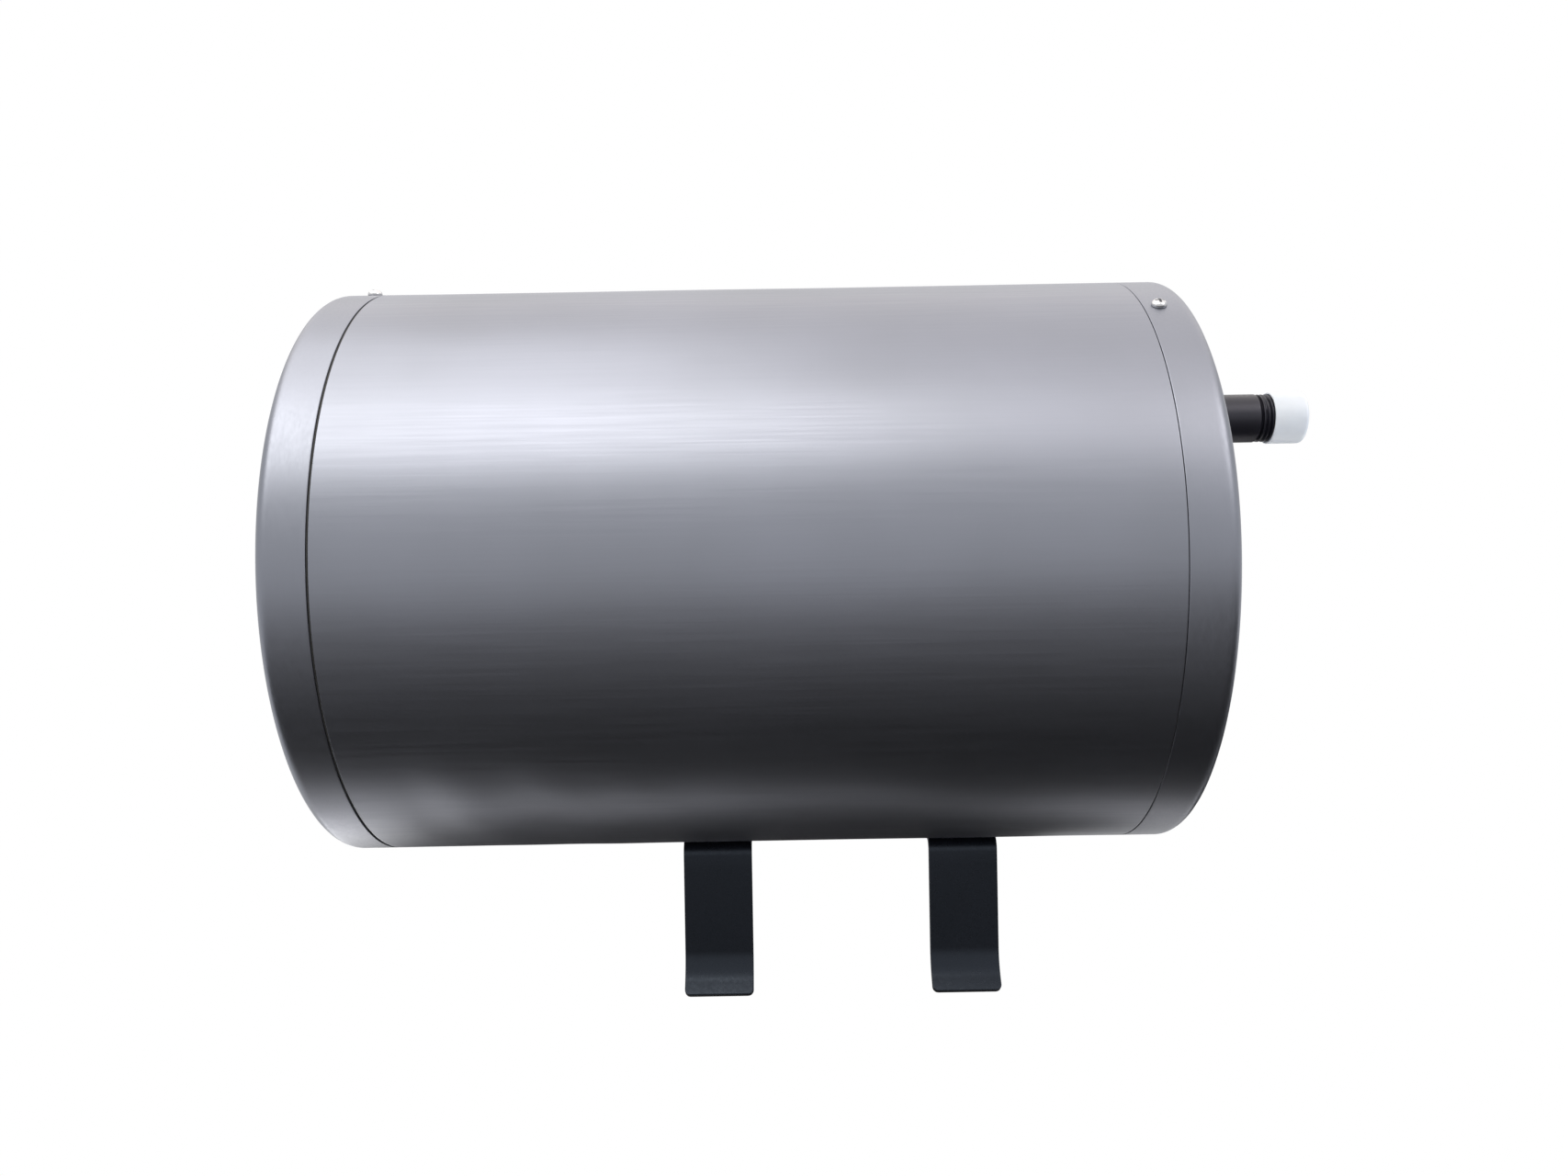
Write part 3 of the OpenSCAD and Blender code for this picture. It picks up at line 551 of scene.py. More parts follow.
@dataclass
class Maker:
    """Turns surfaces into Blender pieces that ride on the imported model.

    Attributes:
        workshop: Where the finishes are made.
        smooth_deg: Edges that turn by more than this stay sharp.
    """

    workshop: Workshop
    smooth_deg: float = 40.0

    def mesh(self, name: str, surface: Surface) -> bpy.types.Object:
        """Puts a surface into a mesh object at the origin.

        Args:
            name: The object's name.
            surface: The surface in the drum's frame.

        Returns:
            The object, linked to the scene.
        """
        mesh = bpy.data.meshes.new(name)
        faces = surface.quads.tolist() + surface.tris.tolist()
        mesh.from_pydata(in_wall_frame(surface.points).tolist(), [], faces)
        piece = bpy.data.objects.new(name, mesh)
        bpy.context.scene.collection.objects.link(piece)
        return piece

    def drill(self, piece: bpy.types.Object, tool: Surface) -> None:
        """Cuts a closed surface out of a piece.

        Args:
            piece: The piece to cut.
            tool: The surface that is cut away.
        """
        cutter = self.mesh("drill", tool)
        cut = piece.modifiers.new("holes", "BOOLEAN")
        cut.operation, cut.solver, cut.object = "DIFFERENCE", "EXACT", cutter
        shape = piece.evaluated_get(bpy.context.evaluated_depsgraph_get())
        before, piece.data = piece.data, bpy.data.meshes.new_from_object(shape)
        piece.modifiers.clear()
        piece.data.name = piece.name
        bit = cutter.data
        bpy.data.objects.remove(cutter)
        bpy.data.meshes.remove(bit)
        bpy.data.meshes.remove(before)

    def piece(
        self,
        name: str,
        surface: Surface,
        finish: Finish,
        nodes: Sequence[str] = (),
        body: str = HEATER,
        holes: Surface | None = None,
    ) -> None:
        """Makes a finished piece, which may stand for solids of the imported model.

        Args:
            name: The piece's name.
            surface: Its surface in the drum's frame.
            finish: What it is made of.
            nodes: The solids that it stands for, or none for a piece of its own.
            body: The body that it rides on.
            holes: What is drilled out of it.
        """
        made = self.mesh(name, surface)
        if holes is not None:
            self.drill(made, holes)
        made.data.polygons.foreach_set("use_smooth", np.ones(len(made.data.polygons), bool))
        made.data.set_sharp_from_angle(angle=math.radians(self.smooth_deg))
        made.data.materials.clear()
        made.data.materials.append(self.workshop.material(finish))
        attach(made, body)
        if nodes:
            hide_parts(*nodes)
        log.info("%s: %d faces", name, len(made.data.polygons))


class Side(Enum):
    """The drum's two ends, by the sign of their X."""

    LEFT = -1
    RIGHT = 1

    @property
    def word(self) -> str:
        """The side's name, as it stands in the names of pieces."""
        return self.name.lower()


@dataclass(frozen=True)
class Wave:
    """A sine wave in the drum's sheet: height times sin(x / length + turns t + start).

    Attributes:
        length: Distance along the drum for each radian.
        turns: Number of waves round the drum.
        start: Angle of the wave at the middle of the front.
        height: Height of the wave, as a share.
    """

    length: float
    turns: float = 0.0
    start: float = 0.0
    height: float = 1.0

    def at(self, x: Array, t: Array) -> Array:
        """Gives the wave at places along the drum and angles round it."""
        return self.height * np.sin(x / self.length + self.turns * t + self.start)


@dataclass
class Rivet:
    """A rivet with a domed head, turned about X.

    Attributes:
        seat: Place of the underside of the head.
        foot: Place of the inner end.
        head_r: Radius of the head.
        rim_h: Height of the straight rim below the dome.
        dome_h: Height of the dome.
        dome_start: Start of the dome's curve, as a share of its quarter turn.
        dome_rows: Number of rows over the dome.
        bevel: Bevel under the rim.
        stem_r: Radius of the stem.
        segments: Number of steps round.
    """

    seat: float
    foot: float
    head_r: float = 3.2
    rim_h: float = 0.25
    dome_h: float = 0.95
    dome_start: float = 0.06
    dome_rows: int = 12
    bevel: float = 0.15
    stem_r: float = 1.6
    segments: int = 40

    def surface(self) -> Surface:
        """Turns the rivet, whose dome is a quarter ellipse from near the axis to the rim.

        Returns:
            The rivet.
        """
        angle = np.linspace(self.dome_start, 1, self.dome_rows) * np.pi / 2
        top = self.seat + self.rim_h + self.dome_h * np.cos(angle)
        dome = np.stack([self.head_r * np.sin(angle), top], -1)
        stem = [
            (self.head_r, self.seat + self.bevel), (self.head_r - self.bevel, self.seat),
            (self.stem_r, self.seat), (self.stem_r, self.foot),
        ]
        return turned(np.concatenate([dome, stem]), ring=False, segments=self.segments)


@dataclass
class Drum:
    """The rolled drum with its lengthwise joint, and the painted shade in its seams.

    Attributes:
        radius: Outer radius.
        half_len: Distance of each seam from the middle.
        step_end: End of the stepped-in part that a cap slips over.
        step_in: Depth of that step.
        sheet: Sheet thickness.
        edge: Rounding of the sheet's outer edges.
        step_edge: Rounding of the step's edges.
        rows: Number of rows along the outside.
        seams: Gaps between the drum and its left and right caps.
        shade_ring_in: Depth of the dark ring of painted seam shade below the outside.
        shade_ring_side: Gap on each side of that ring.
        shade_ring_below: Gap under that ring.
        shade_ring_fillet: Rounding of that ring, as a share of its seam.
        joint_deg: Angle of the joint from the front over the top.
        strip_w: Width of the strip over the joint.
        strip_end: Distance of the strip's ends from the middle.
        strip_edges: Rounding of the strip's lower and upper edges.
        strip_rows: Number of rows along the strip.
        rivets: Number of rivets.
        rivet_span: Distance of the end rivets from the middle.
        rivet_in: How far the rivets reach below the outside.
        wave_mm: Depth of the sheet's unevenness.
        fade_len: Length over which it fades to nothing before a seam.
        slow: The slow waves of the whole sheet.
        slow_share: Their share of the depth.
        ripples: The quicker waves of one patch.
        patch: Place along the drum and angle of that patch.
        patch_size: Its half length and half angle.
    """

    radius: float = DRUM_R
    half_len: float = 153.0
    step_end: float = 165.0
    step_in: float = 1.1
    sheet: float = SHEET
    edge: float = 0.35
    step_edge: float = 0.2
    rows: int = 121
    seams: tuple[float, float] = (0.8, 0.2)
    shade_ring_in: float = 0.45
    shade_ring_side: float = 0.04
    shade_ring_below: float = 0.02
    shade_ring_fillet: float = 0.25
    joint_deg: float = 150.0
    strip_w: float = 18.0
    strip_end: float = 151.0
    strip_edges: tuple[float, float] = (0.1, 0.35)
    strip_rows: int = 60
    rivets: int = 7
    rivet_span: float = 141.0
    rivet_in: float = 2.0
    wave_mm: float = 0.25
    fade_len: float = 25.0
    slow: tuple[Wave, ...] = (Wave(21, 2), Wave(34, -3, 1), Wave(13, 1, 2, 0.6))
    slow_share: float = 0.12
    ripples: tuple[Wave, ...] = (Wave(9.5, start=0.6), Wave(5.6, 5, height=0.7))
    patch: tuple[float, float] = (-95.0, -0.98)
    patch_size: tuple[float, float] = (70.0, 0.30)

    def waves(self, r: Array, x: Array, t: Array) -> Array:
        """Adds the faint unevenness of rolled sheet to the outside.

        Slow sine waves along and round the drum are set in so that they never stand proud. A patch
        low on the front at the left has quicker ripples, up to 0.4 mm proud, times e to the power
        of minus the squares of the distance and angle from the patch's middle. All fades to
        nothing at the seams, and the inside stays round.

        Args:
            r: Radius.
            x: Place along the drum.
            t: Angle above the front.

        Returns:
            The uneven radius.
        """
        fade = np.clip((self.half_len - np.abs(x)) / self.fade_len, 0, 1)
        outside = r > self.radius - self.sheet / 2
        slow = sum(wave.at(x, t) - wave.height for wave in self.slow)
        from_front = np.mod(t + np.pi, 2 * np.pi) - np.pi
        along = (x - self.patch[0]) / self.patch_size[0]
        up = (from_front - self.patch[1]) / self.patch_size[1]
        ripple = np.exp(-(up**2) - along**2) * sum(wave.at(x, t) for wave in self.ripples)
        return r + fade * outside * self.wave_mm * (self.slow_share * slow + ripple)

    def shell(self) -> Surface:
        """Turns the drum's closed profile: outside, steps and inside.

        Returns:
            The drum's sheet.
        """
        r, h, s, e = self.radius, self.half_len, self.step_end, self.edge
        inner, step, inner_h = r - self.sheet, r - self.step_in, h - self.sheet
        half = [
            (r, h, e), (step, h, self.step_edge), (step, s, self.step_edge),
            (step - self.sheet, s, self.step_edge), (step - self.sheet, inner_h, 0.0),
            (inner, inner_h, 0.0),
        ]
        ends = rounded(half + [(a, -b, c) for a, b, c in reversed(half)], closed=True)
        outside = np.linspace(-h + 2 * e, h - 2 * e, self.rows)
        run = np.stack([np.full_like(outside, r), outside], -1)
        profile = np.concatenate([ends, run])
        return turned(profile, ring=True, segments=DRUM_STEPS, radius=self.waves)

    def strip(self) -> Surface:
        """Carries the strip's rounded section along the drum.

        A section point at a along the sheet and b from the axis goes to radius b and angle
        a / radius from the joint.

        Returns:
            The strip.
        """
        half, low = self.strip_w / 2, self.radius + GAP
        top = low + self.sheet
        under, over = self.strip_edges
        corners = [(-half, low, under), (half, low, under), (half, top, over), (-half, top, over)]
        section = rounded(corners, closed=True, steps=4)
        run = np.linspace(-self.strip_end, self.strip_end, self.strip_rows)
        angle = math.radians(self.joint_deg) + section[:, 0] / self.radius
        flat = np.stack([-section[:, 1] * np.cos(angle), section[:, 1] * np.sin(angle)], -1)
        x = np.broadcast_to(run[:, None], (len(run), len(section)))
        yz = np.broadcast_to(flat[None], (len(run), len(section), 2))
        return skin(np.concatenate([x[..., None], yz], -1), ring=False)

    def seam_shade_rings(self) -> Surface:
        """Turns a dark ring for each seam, below the sheet's outside: painted shade in the gap.

        Returns:
            Both rings.
        """
        low, top = self.radius - self.step_in + self.shade_ring_below, self.radius - self.shade_ring_in
        shade_rings = []
        for side, gap in zip(Side, self.seams):
            reach = (self.shade_ring_side, gap - self.shade_ring_side)
            near, far = (side.value * (self.half_len + x) for x in reach)
            fillet = self.shade_ring_fillet * gap
            section = [(low, near, 0), (top, near, fillet), (top, far, fillet), (low, far, 0)]
            profile = rounded(section, closed=True, steps=4)
            shade_rings.append(turned(profile, ring=True, segments=DRUM_STEPS))
        return Surface.joined(shade_rings)

    def rivet_heads(self) -> Surface:
        """Stands a rivet at each place along the joint.

        Returns:
            All the rivets.
        """
        seat = self.radius + 2 * GAP + self.sheet
        rivet = Rivet(seat, foot=self.radius - self.rivet_in).surface()
        places = np.linspace(-self.rivet_span, self.rivet_span, self.rivets)
        return Surface.joined([rivet.moved(outwards(self.joint_deg, x)) for x in places])

    def build(self, maker: Maker) -> None:
        """Makes the drum, the painted shade rings in its seams, its joint strip and the rivets.

        Args:
            maker: Makes the pieces.
        """
        maker.piece("drum", self.shell(), DRUM_SHEET, ["drum_shell"])
        # Dark rings in the rubber finish paint the shade in the gaps between drum and caps.
        maker.piece("seam_painted_shade", self.seam_shade_rings(), RUBBER)
        maker.piece("joint_cover_strip", self.strip(), DRUM_SHEET, ["joint_strip"])
        maker.piece("joint_rivets", self.rivet_heads(), ZINC_PLATE, ["joint_rivet_set"])


@dataclass
class PanScrew:
    """A small pan-head screw with a cross recess, turned about X.

    Attributes:
        seat: Place of the underside of the head.
        head_r: Radius of the head.
        head_h: Height of the head.
        rim: Share of that height below the dome.
        dome: Powers of the dome's curve.
        shank_r: Radius of the shank.
        shank: Length of the shank.
        point: Bevel of the shank's end.
        under: Width and height of the bevel under the head.
        arm: Reach of each arm of the recess.
        arm_w: Half width of an arm.
        depth: Depth of the recess.
        taper: Share of that depth lost along an arm.
        soft_w: Width of the recess's edges.
        recess_rows: First share of the radius, last share and number of rows over the recess.
        rim_rows: The same for the wider rows up to the rim.
        segments: Number of steps round.
    """

    seat: float
    head_r: float = 3.0
    head_h: float = 2.4
    rim: float = 0.2
    dome: tuple[float, float] = (2.4, 0.55)
    shank_r: float = 1.5
    shank: float = 4.0
    point: float = 0.4
    under: tuple[float, float] = (0.1, 0.12)
    arm: float = 1.75
    arm_w: float = 0.42
    depth: float = 1.3
    taper: float = 0.25
    soft_w: float = 0.12
    recess_rows: tuple[float, float, int] = (0.03, 0.75, 34)
    rim_rows: tuple[float, float, int] = (0.79, 1.0, 10)
    segments: int = 96

    def surface(self) -> Surface:
        """Turns the screw and sinks the cross into its dome.

        With s the distance from the axis over the head's radius, the dome's height follows
        (1 - s^p)^q with the powers p and q of its curve. The recess takes its depth off wherever
        the point lies in one of two crossed bars with soft edges.

        Returns:
            The screw.
        """
        rows = (self.recess_rows, self.rim_rows)
        share = np.concatenate([np.linspace(*row) for row in rows])[:, None]
        angle = np.arange(self.segments) * (2 * np.pi / self.segments)
        r = share * self.head_r * np.ones_like(angle)
        y, z = r * np.cos(angle), r * np.sin(angle)
        p, q = self.dome
        dome = self.seat + self.head_h * (self.rim + (1 - self.rim) * (1 - share**p) ** q)
        bars = [
            self.soft(self.arm - np.abs(u)) * self.soft(self.arm_w - np.abs(v))
            for u, v in ((y, z), (z, y))
        ]
        sunk = np.maximum(*bars) * self.depth * (1 - self.taper * r / self.arm)
        top = np.stack([dome - sunk, y, z], -1)
        end = self.seat - self.shank
        side = np.array(
            [
                (self.head_r, self.seat + self.under[1]), (self.head_r - self.under[0], self.seat),
                (self.shank_r, self.seat), (self.shank_r, end + self.point),
                (self.shank_r - self.point, end),
            ]
        )
        side_x = np.broadcast_to(side[:, 1:], (len(side), self.segments))
        rings = [side_x, side[:, :1] * np.cos(angle), side[:, :1] * np.sin(angle)]
        return skin(np.concatenate([top, np.stack(rings, -1)]), ring=False)

    def soft(self, inside: Array) -> Array:
        """Rises from 0 to 1 over the width of an edge, as 3 u^2 - 2 u^3."""
        u = np.clip(inside / self.soft_w + 0.5, 0, 1)
        return u * u * (3 - 2 * u)


@dataclass
class EndCap:
    """A pressed end cap with its two screws.

    Attributes:
        side: Which end it closes.
        edge_x: Edge of the skirt.
        screw_deg: Angle of its first screw above the front.
        holes: Y, Z and radius of each hole in its panel.
        radius: Outer radius.
        rim_x: Face of the rim.
        rim_r: Outer radius of the rolled rim.
        panel_r: Radius of the raised panel.
        panel_h: Height of the raised panel.
        panel_edge: Rounding of the panel's edge.
        panel_foot: Rounding at the foot of the panel's slope.
        hub_r: Radius of the flat middle, which a fan of faces closes.
        sheet: Sheet thickness.
        skirt_edges: Rounding of the skirt's outer and inner edges.
        screw_x: Place of the screws along the drum.
        drill_reach: Ends of the drills, from the rim's face.
        drill_steps: Number of steps round a drill.
    """

    side: Side
    edge_x: float
    screw_deg: float
    holes: Sequence[tuple[float, float, float]]
    radius: float = DRUM_R
    rim_x: float = 172.8
    rim_r: float = 5.0
    panel_r: float = 90.0
    panel_h: float = 4.0
    panel_edge: float = 4.0
    panel_foot: float = 3.0
    hub_r: float = 1.5
    sheet: float = SHEET
    skirt_edges: tuple[float, float] = (0.35, 0.15)
    screw_x: float = 159.4
    drill_reach: tuple[float, float] = (-6.0, 12.0)
    drill_steps: int = 64

    def half_section(self, wall: float, edge: float) -> list[Corner]:
        """Gives the cap's section from the axis to its edge, set in by a wall.

        The panel's slope of 45 degrees moves in by the wall times tan 22.5, which is sqrt 2 - 1.

        Args:
            wall: How far the section is set in.
            edge: Rounding of the skirt's edge.

        Returns:
            Its corners.
        """
        r, face = self.radius - wall, self.rim_x - wall
        panel, top = self.panel_r - wall * (math.sqrt(2) - 1), face + self.panel_h
        return [
            (self.hub_r, top, 0.0), (panel / 2, top, 0.0), (panel, top, self.panel_edge - wall),
            (panel + self.panel_h, face, self.panel_foot + wall), (r, face, self.rim_r - wall),
            (r, self.edge_x, edge),
        ]

    def shell(self) -> Surface:
        """Turns the cap's closed section, and mirrors it for the left end.

        Returns:
            The cap without its holes.
        """
        outer, inner = self.skirt_edges
        section = self.half_section(0.0, outer) + self.half_section(self.sheet, inner)[::-1]
        profile = rounded(section, closed=False, steps=8)
        cap = turned(profile, ring=False, segments=DRUM_STEPS)
        flip = np.array([self.side.value, 1.0, 1.0])
        return cap.moved(lambda p: p * flip)

    def drills(self) -> Surface:
        """Gives a round bar through the panel at each hole.

        Returns:
            The bars.
        """
        x0, x1 = sorted(self.side.value * (self.rim_x + reach) for reach in self.drill_reach)
        bars = [
            turned(np.array([[r, x0], [r, x1]]), False, (y, z), self.drill_steps)
            for y, z, r in self.holes
        ]
        return Surface.joined(bars)

    def screws(self) -> Surface:
        """Stands the two screws on the skirt, on opposite sides.

        Returns:
            Both screws.
        """
        screw = PanScrew(self.radius + GAP).surface()
        x, angles = self.side.value * self.screw_x, (self.screw_deg, self.screw_deg + 180)
        return Surface.joined([screw.moved(outwards(angle, x)) for angle in angles])

    def build(self, maker: Maker) -> None:
        """Makes the cap and its screws.

        Args:
            maker: Makes the pieces.
        """
        word = self.side.word
        cap_node, screw_node = f"{word}_end_cap", f"{word}_cap_screws"
        maker.piece(f"{word}_cap", self.shell(), CAP_SHEET, [cap_node], holes=self.drills())
        maker.piece(f"{word}_screws", self.screws(), ZINC_PLATE, [screw_node])


@dataclass
class Strap:
    """A flat bar bent to hang the drum: wall plate, quarter wrap, fold, leg, kicked toe and tip.

    Attributes:
        side: Which of the two straps it is.
        x: Place along the drum.
        width: Width of the bar.
        thick: Thickness of the bar.
        wrap_r: Radius of the wrap at mid thickness.
        top: Height of the wall plate's end above the axis.
        plate: Length of the wall plate's upper part.
        fold_r: Radius of the fold at mid thickness.
        leg: Length of the leg.
        toe_r: Radius of the toe at mid thickness.
        toe_deg: Angle that the toe turns forward.
        tip: Length of the straight tip.
        corner: Corner radius of the bar's ends.
        corner_rows: Number of rows over that corner.
        edge: Rounding of the bar's edges.
        hole_r: Radius of the wall screw's hole.
        hole_z: Height of that hole above the axis.
        drill_y: Ends of the drill for that hole.
        drill_steps: Number of steps round that drill.
        plate_rows: Number of rows along the wall plate's upper part, below its corners.
        wall_rows: Number of rows from there to the wrap.
        wrap_rows: Number of rows along the wrap.
        fold_rows: Number of rows along the fold.
        leg_rows: Number of rows along the leg.
        toe_rows: Number of rows along the toe.
        tip_rows: Number of rows along the tip, up to its corners.
        merge: Rows that are closer than this are one.
    """

    side: Side
    x: float
    width: float = 30.0
    thick: float = 3.0
    wrap_r: float = 121.65
    top: float = 149.0
    plate: float = 60.0
    fold_r: float = 5.5
    leg: float = 42.0
    toe_r: float = 23.0
    toe_deg: float = 35.0
    tip: float = 5.5
    corner: float = 2.5
    corner_rows: int = 8
    edge: float = 0.45
    hole_r: float = 3.25
    hole_z: float = 137.0
    drill_y: tuple[float, float] = (115.0, 130.0)
    drill_steps: int = 48
    plate_rows: int = 8
    wall_rows: int = 10
    wrap_rows: int = 64
    fold_rows: int = 16
    leg_rows: int = 8
    toe_rows: int = 24
    tip_rows: int = 5
    merge: float = 1e-6

    @staticmethod
    def run(start: Array, end: Array, steps: int) -> tuple[Array, Array]:
        """Follows a straight run.

        Args:
            start: Y and Z of its first point.
            end: Y and Z of its last point.
            steps: Number of points.

        Returns:
            Places, one row each, and direction angles.
        """
        share = np.linspace(0, 1, steps)[:, None]
        way = end - start
        return start + share * way, np.full(steps, math.atan2(way[1], way[0]))

    @staticmethod
    def bend(
        centre: Array, r: float, first: float, last: float, steps: int
    ) -> tuple[Array, Array]:
        """Follows an arc, whose direction is square to its radius.

        Args:
            centre: Y and Z of its centre.
            r: Its radius.
            first: Angle of its first point in degrees, from Y towards Z.
            last: Angle of its last point.
            steps: Number of points.

        Returns:
            Places, one row each, and direction angles.
        """
        angle = np.radians(np.linspace(first, last, steps))
        square = math.copysign(np.pi / 2, last - first)
        return centre + r * np.stack([np.cos(angle), np.sin(angle)], -1), angle + square

    def path(self) -> tuple[Array, Array]:
        """Follows the bar's middle line in Y and Z, from the wall plate's end to the tip.

        Rows lie close together towards both ends, where the corners are rounded, at distances that
        grow with the square of their number.

        Returns:
            Places, one row each, and direction angles.
        """
        down = -np.pi / 2
        fold_z = -self.wrap_r - self.fold_r
        leg_start = np.array([-self.fold_r, fold_z])
        leg_end = leg_start - np.array([0.0, self.leg])
        toe_centre = leg_end - np.array([self.toe_r, 0.0])
        toe = math.radians(self.toe_deg)
        tip_start = toe_centre + self.toe_r * np.array([math.cos(toe), -math.sin(toe)])
        tip_end = tip_start - self.tip * np.array([math.sin(toe), math.cos(toe)])
        rows = self.corner_rows
        corner = self.corner * np.linspace(0, 1, rows + 1) ** 2
        ease = np.concatenate([corner[:-1], np.linspace(self.corner, self.plate, self.plate_rows)])
        plate = np.stack([np.full_like(ease, self.wrap_r), self.top - ease], -1)
        tip_flat = np.linspace(0, self.tip - self.corner, self.tip_rows)[:-1]
        tip_run = np.concatenate([tip_flat, self.tip - ease[rows::-1]])[:, None] / self.tip
        parts = [
            (plate, np.full(len(plate), down)),
            self.run(plate[-1], np.array([self.wrap_r, 0.0]), self.wall_rows),
            self.bend(np.zeros(2), self.wrap_r, 0, -90, self.wrap_rows),
            self.bend(np.array([0.0, fold_z]), self.fold_r, 90, 180, self.fold_rows),
            self.run(leg_start, leg_end, self.leg_rows),
            self.bend(toe_centre, self.toe_r, 0, -self.toe_deg, self.toe_rows),
            (tip_start + tip_run * (tip_end - tip_start), np.full(len(tip_run), down - toe)),
        ]
        places = np.concatenate([p for p, _ in parts])
        ways = np.concatenate([w for _, w in parts])
        fresh = np.linalg.norm(np.diff(places, axis=0), axis=1) > self.merge
        fresh = np.concatenate([[True], fresh])
        return places[fresh], ways[fresh]

    def bar(self) -> Surface:
        """Carries the bar's rounded section along its path.

        At a distance d from either end, the half width is less by c - sqrt(c^2 - (c - d)^2) for the
        corner radius c, and both half sizes are less by the same formula with the edge radius.

        Returns:
            The bent bar.
        """
        places, ways = self.path()
        steps = np.linalg.norm(np.diff(places, axis=0), axis=1)
        run = np.concatenate([[0], np.cumsum(steps)])
        d = np.minimum(run, run[-1] - run)
        inset = self.quarter(self.edge, d)
        half_w = self.width / 2 - self.quarter(self.corner, d) - inset
        half_t = self.thick / 2 - inset
        w, t, e = self.width / 2, self.thick / 2, self.edge
        corners = [(-w, -t, e), (w, -t, e), (w, t, e), (-w, t, e)]
        section = rounded(corners, closed=True, steps=5)
        across = section[None, :, 0] / w * half_w[:, None]
        off = section[None, :, 1] / t * half_t[:, None]
        y = places[:, :1] - off * np.sin(ways)[:, None]
        z = places[:, 1:] + off * np.cos(ways)[:, None]
        return skin(np.stack([self.x + across, y, z], -1), ring=False)

    @staticmethod
    def quarter(r: float, d: Array) -> Array:
        """Gives how far a quarter round of radius r stands back at a distance d from its end."""
        return r - np.sqrt(r * r - (r - np.minimum(d, r)) ** 2)

    def hole(self) -> Surface:
        """Gives the wall screw's hole as a bar along Y.

        Returns:
            The bar.
        """
        profile = np.array([(self.hole_r, y) for y in self.drill_y])
        bar = turned(profile, ring=False, segments=self.drill_steps)
        return bar.moved(
            lambda p: np.stack([self.x + p[:, 1], p[:, 0], self.hole_z + p[:, 2]], -1)
        )

    def build(self, maker: Maker) -> None:
        """Makes the strap.

        Args:
            maker: Makes the piece.
        """
        word = self.side.word
        node = f"{word}_hanger_strap"
        maker.piece(f"{word}_strap", self.bar(), STRAP_ENAMEL, [node], holes=self.hole())


@dataclass
class HangerScrews:
    """The flanged hex screws that hold the straps to the drum.

    Attributes:
        xs: Places along the drum.
        angles: Angles from the front under the drum.
        seat: Radius of the straps' outside.
        shank_r: Radius of the shank.
        shank: Length of the shank.
        flange_r: Radius of the flange.
        flange_h: Height of the flange's rim.
        slope_r: Radius at the top of the flange's slope.
        slope_h: Height of that top.
        flats: Head's size across flats.
        corner_r: Radius over the head's corners.
        corner_h: Height of the corners.
        head_r: Radius of the head's flat top.
        head_h: Height of the head.
        foot_h: Height where the head starts, inside the flange.
        hub_r: Radius of the middle, which a fan of faces closes.
        flange_steps: Number of steps round the flange.
    """

    xs: Sequence[float]
    angles: Sequence[float] = (-115.0, -155.0)
    seat: float = 123.2
    shank_r: float = 2.5
    shank: float = 10.0
    flange_r: float = 5.5
    flange_h: float = 0.7
    slope_r: float = 4.75
    slope_h: float = 1.2
    flats: float = 8.0
    corner_r: float = 4.62
    corner_h: float = 3.9
    head_r: float = 3.7
    head_h: float = 4.5
    foot_h: float = 0.6
    hub_r: float = 0.5
    flange_steps: int = 72

    def screw(self) -> Surface:
        """Turns a screw whose flange slopes up to a six-sided head with a rounded top.

        Returns:
            The screw.
        """
        s, hub, foot = self.seat, self.hub_r, self.seat + self.foot_h
        flange = [
            (self.shank_r, s - self.shank, 0), (self.shank_r, s, 0), (self.flange_r, s, 0.2),
            (self.flange_r, s + self.flange_h, 0.3), (self.slope_r, s + self.slope_h, 0),
            (hub, s + self.slope_h, 0),
        ]
        head = [
            (hub, foot, 0), (self.corner_r, foot, 0), (self.corner_r, s + self.corner_h, 0.35),
            (self.head_r, s + self.head_h, 0.5), (hub, s + self.head_h, 0),
        ]
        round_part = rounded(flange, closed=False, steps=4)
        hex_part = rounded(head, closed=False, steps=5)
        bar = six_sided(self.flats)
        return Surface.joined(
            [
                turned(round_part, ring=False, segments=self.flange_steps),
                turned(hex_part, ring=False, segments=HEX_STEPS, radius=bar),
            ]
        )

    def build(self, maker: Maker) -> None:
        """Makes the screws of both straps.

        Args:
            maker: Makes the piece.
        """
        screw = self.screw()
        parts = [screw.moved(outwards(a, x)) for x in self.xs for a in self.angles]
        maker.piece("strap_screws", Surface.joined(parts), ZINC_PLATE, ["hanger_screws"])


class Water(Enum):
    """What a pipe carries, with its use as the value."""

    HOT = "outlet"
    COLD = "inlet"


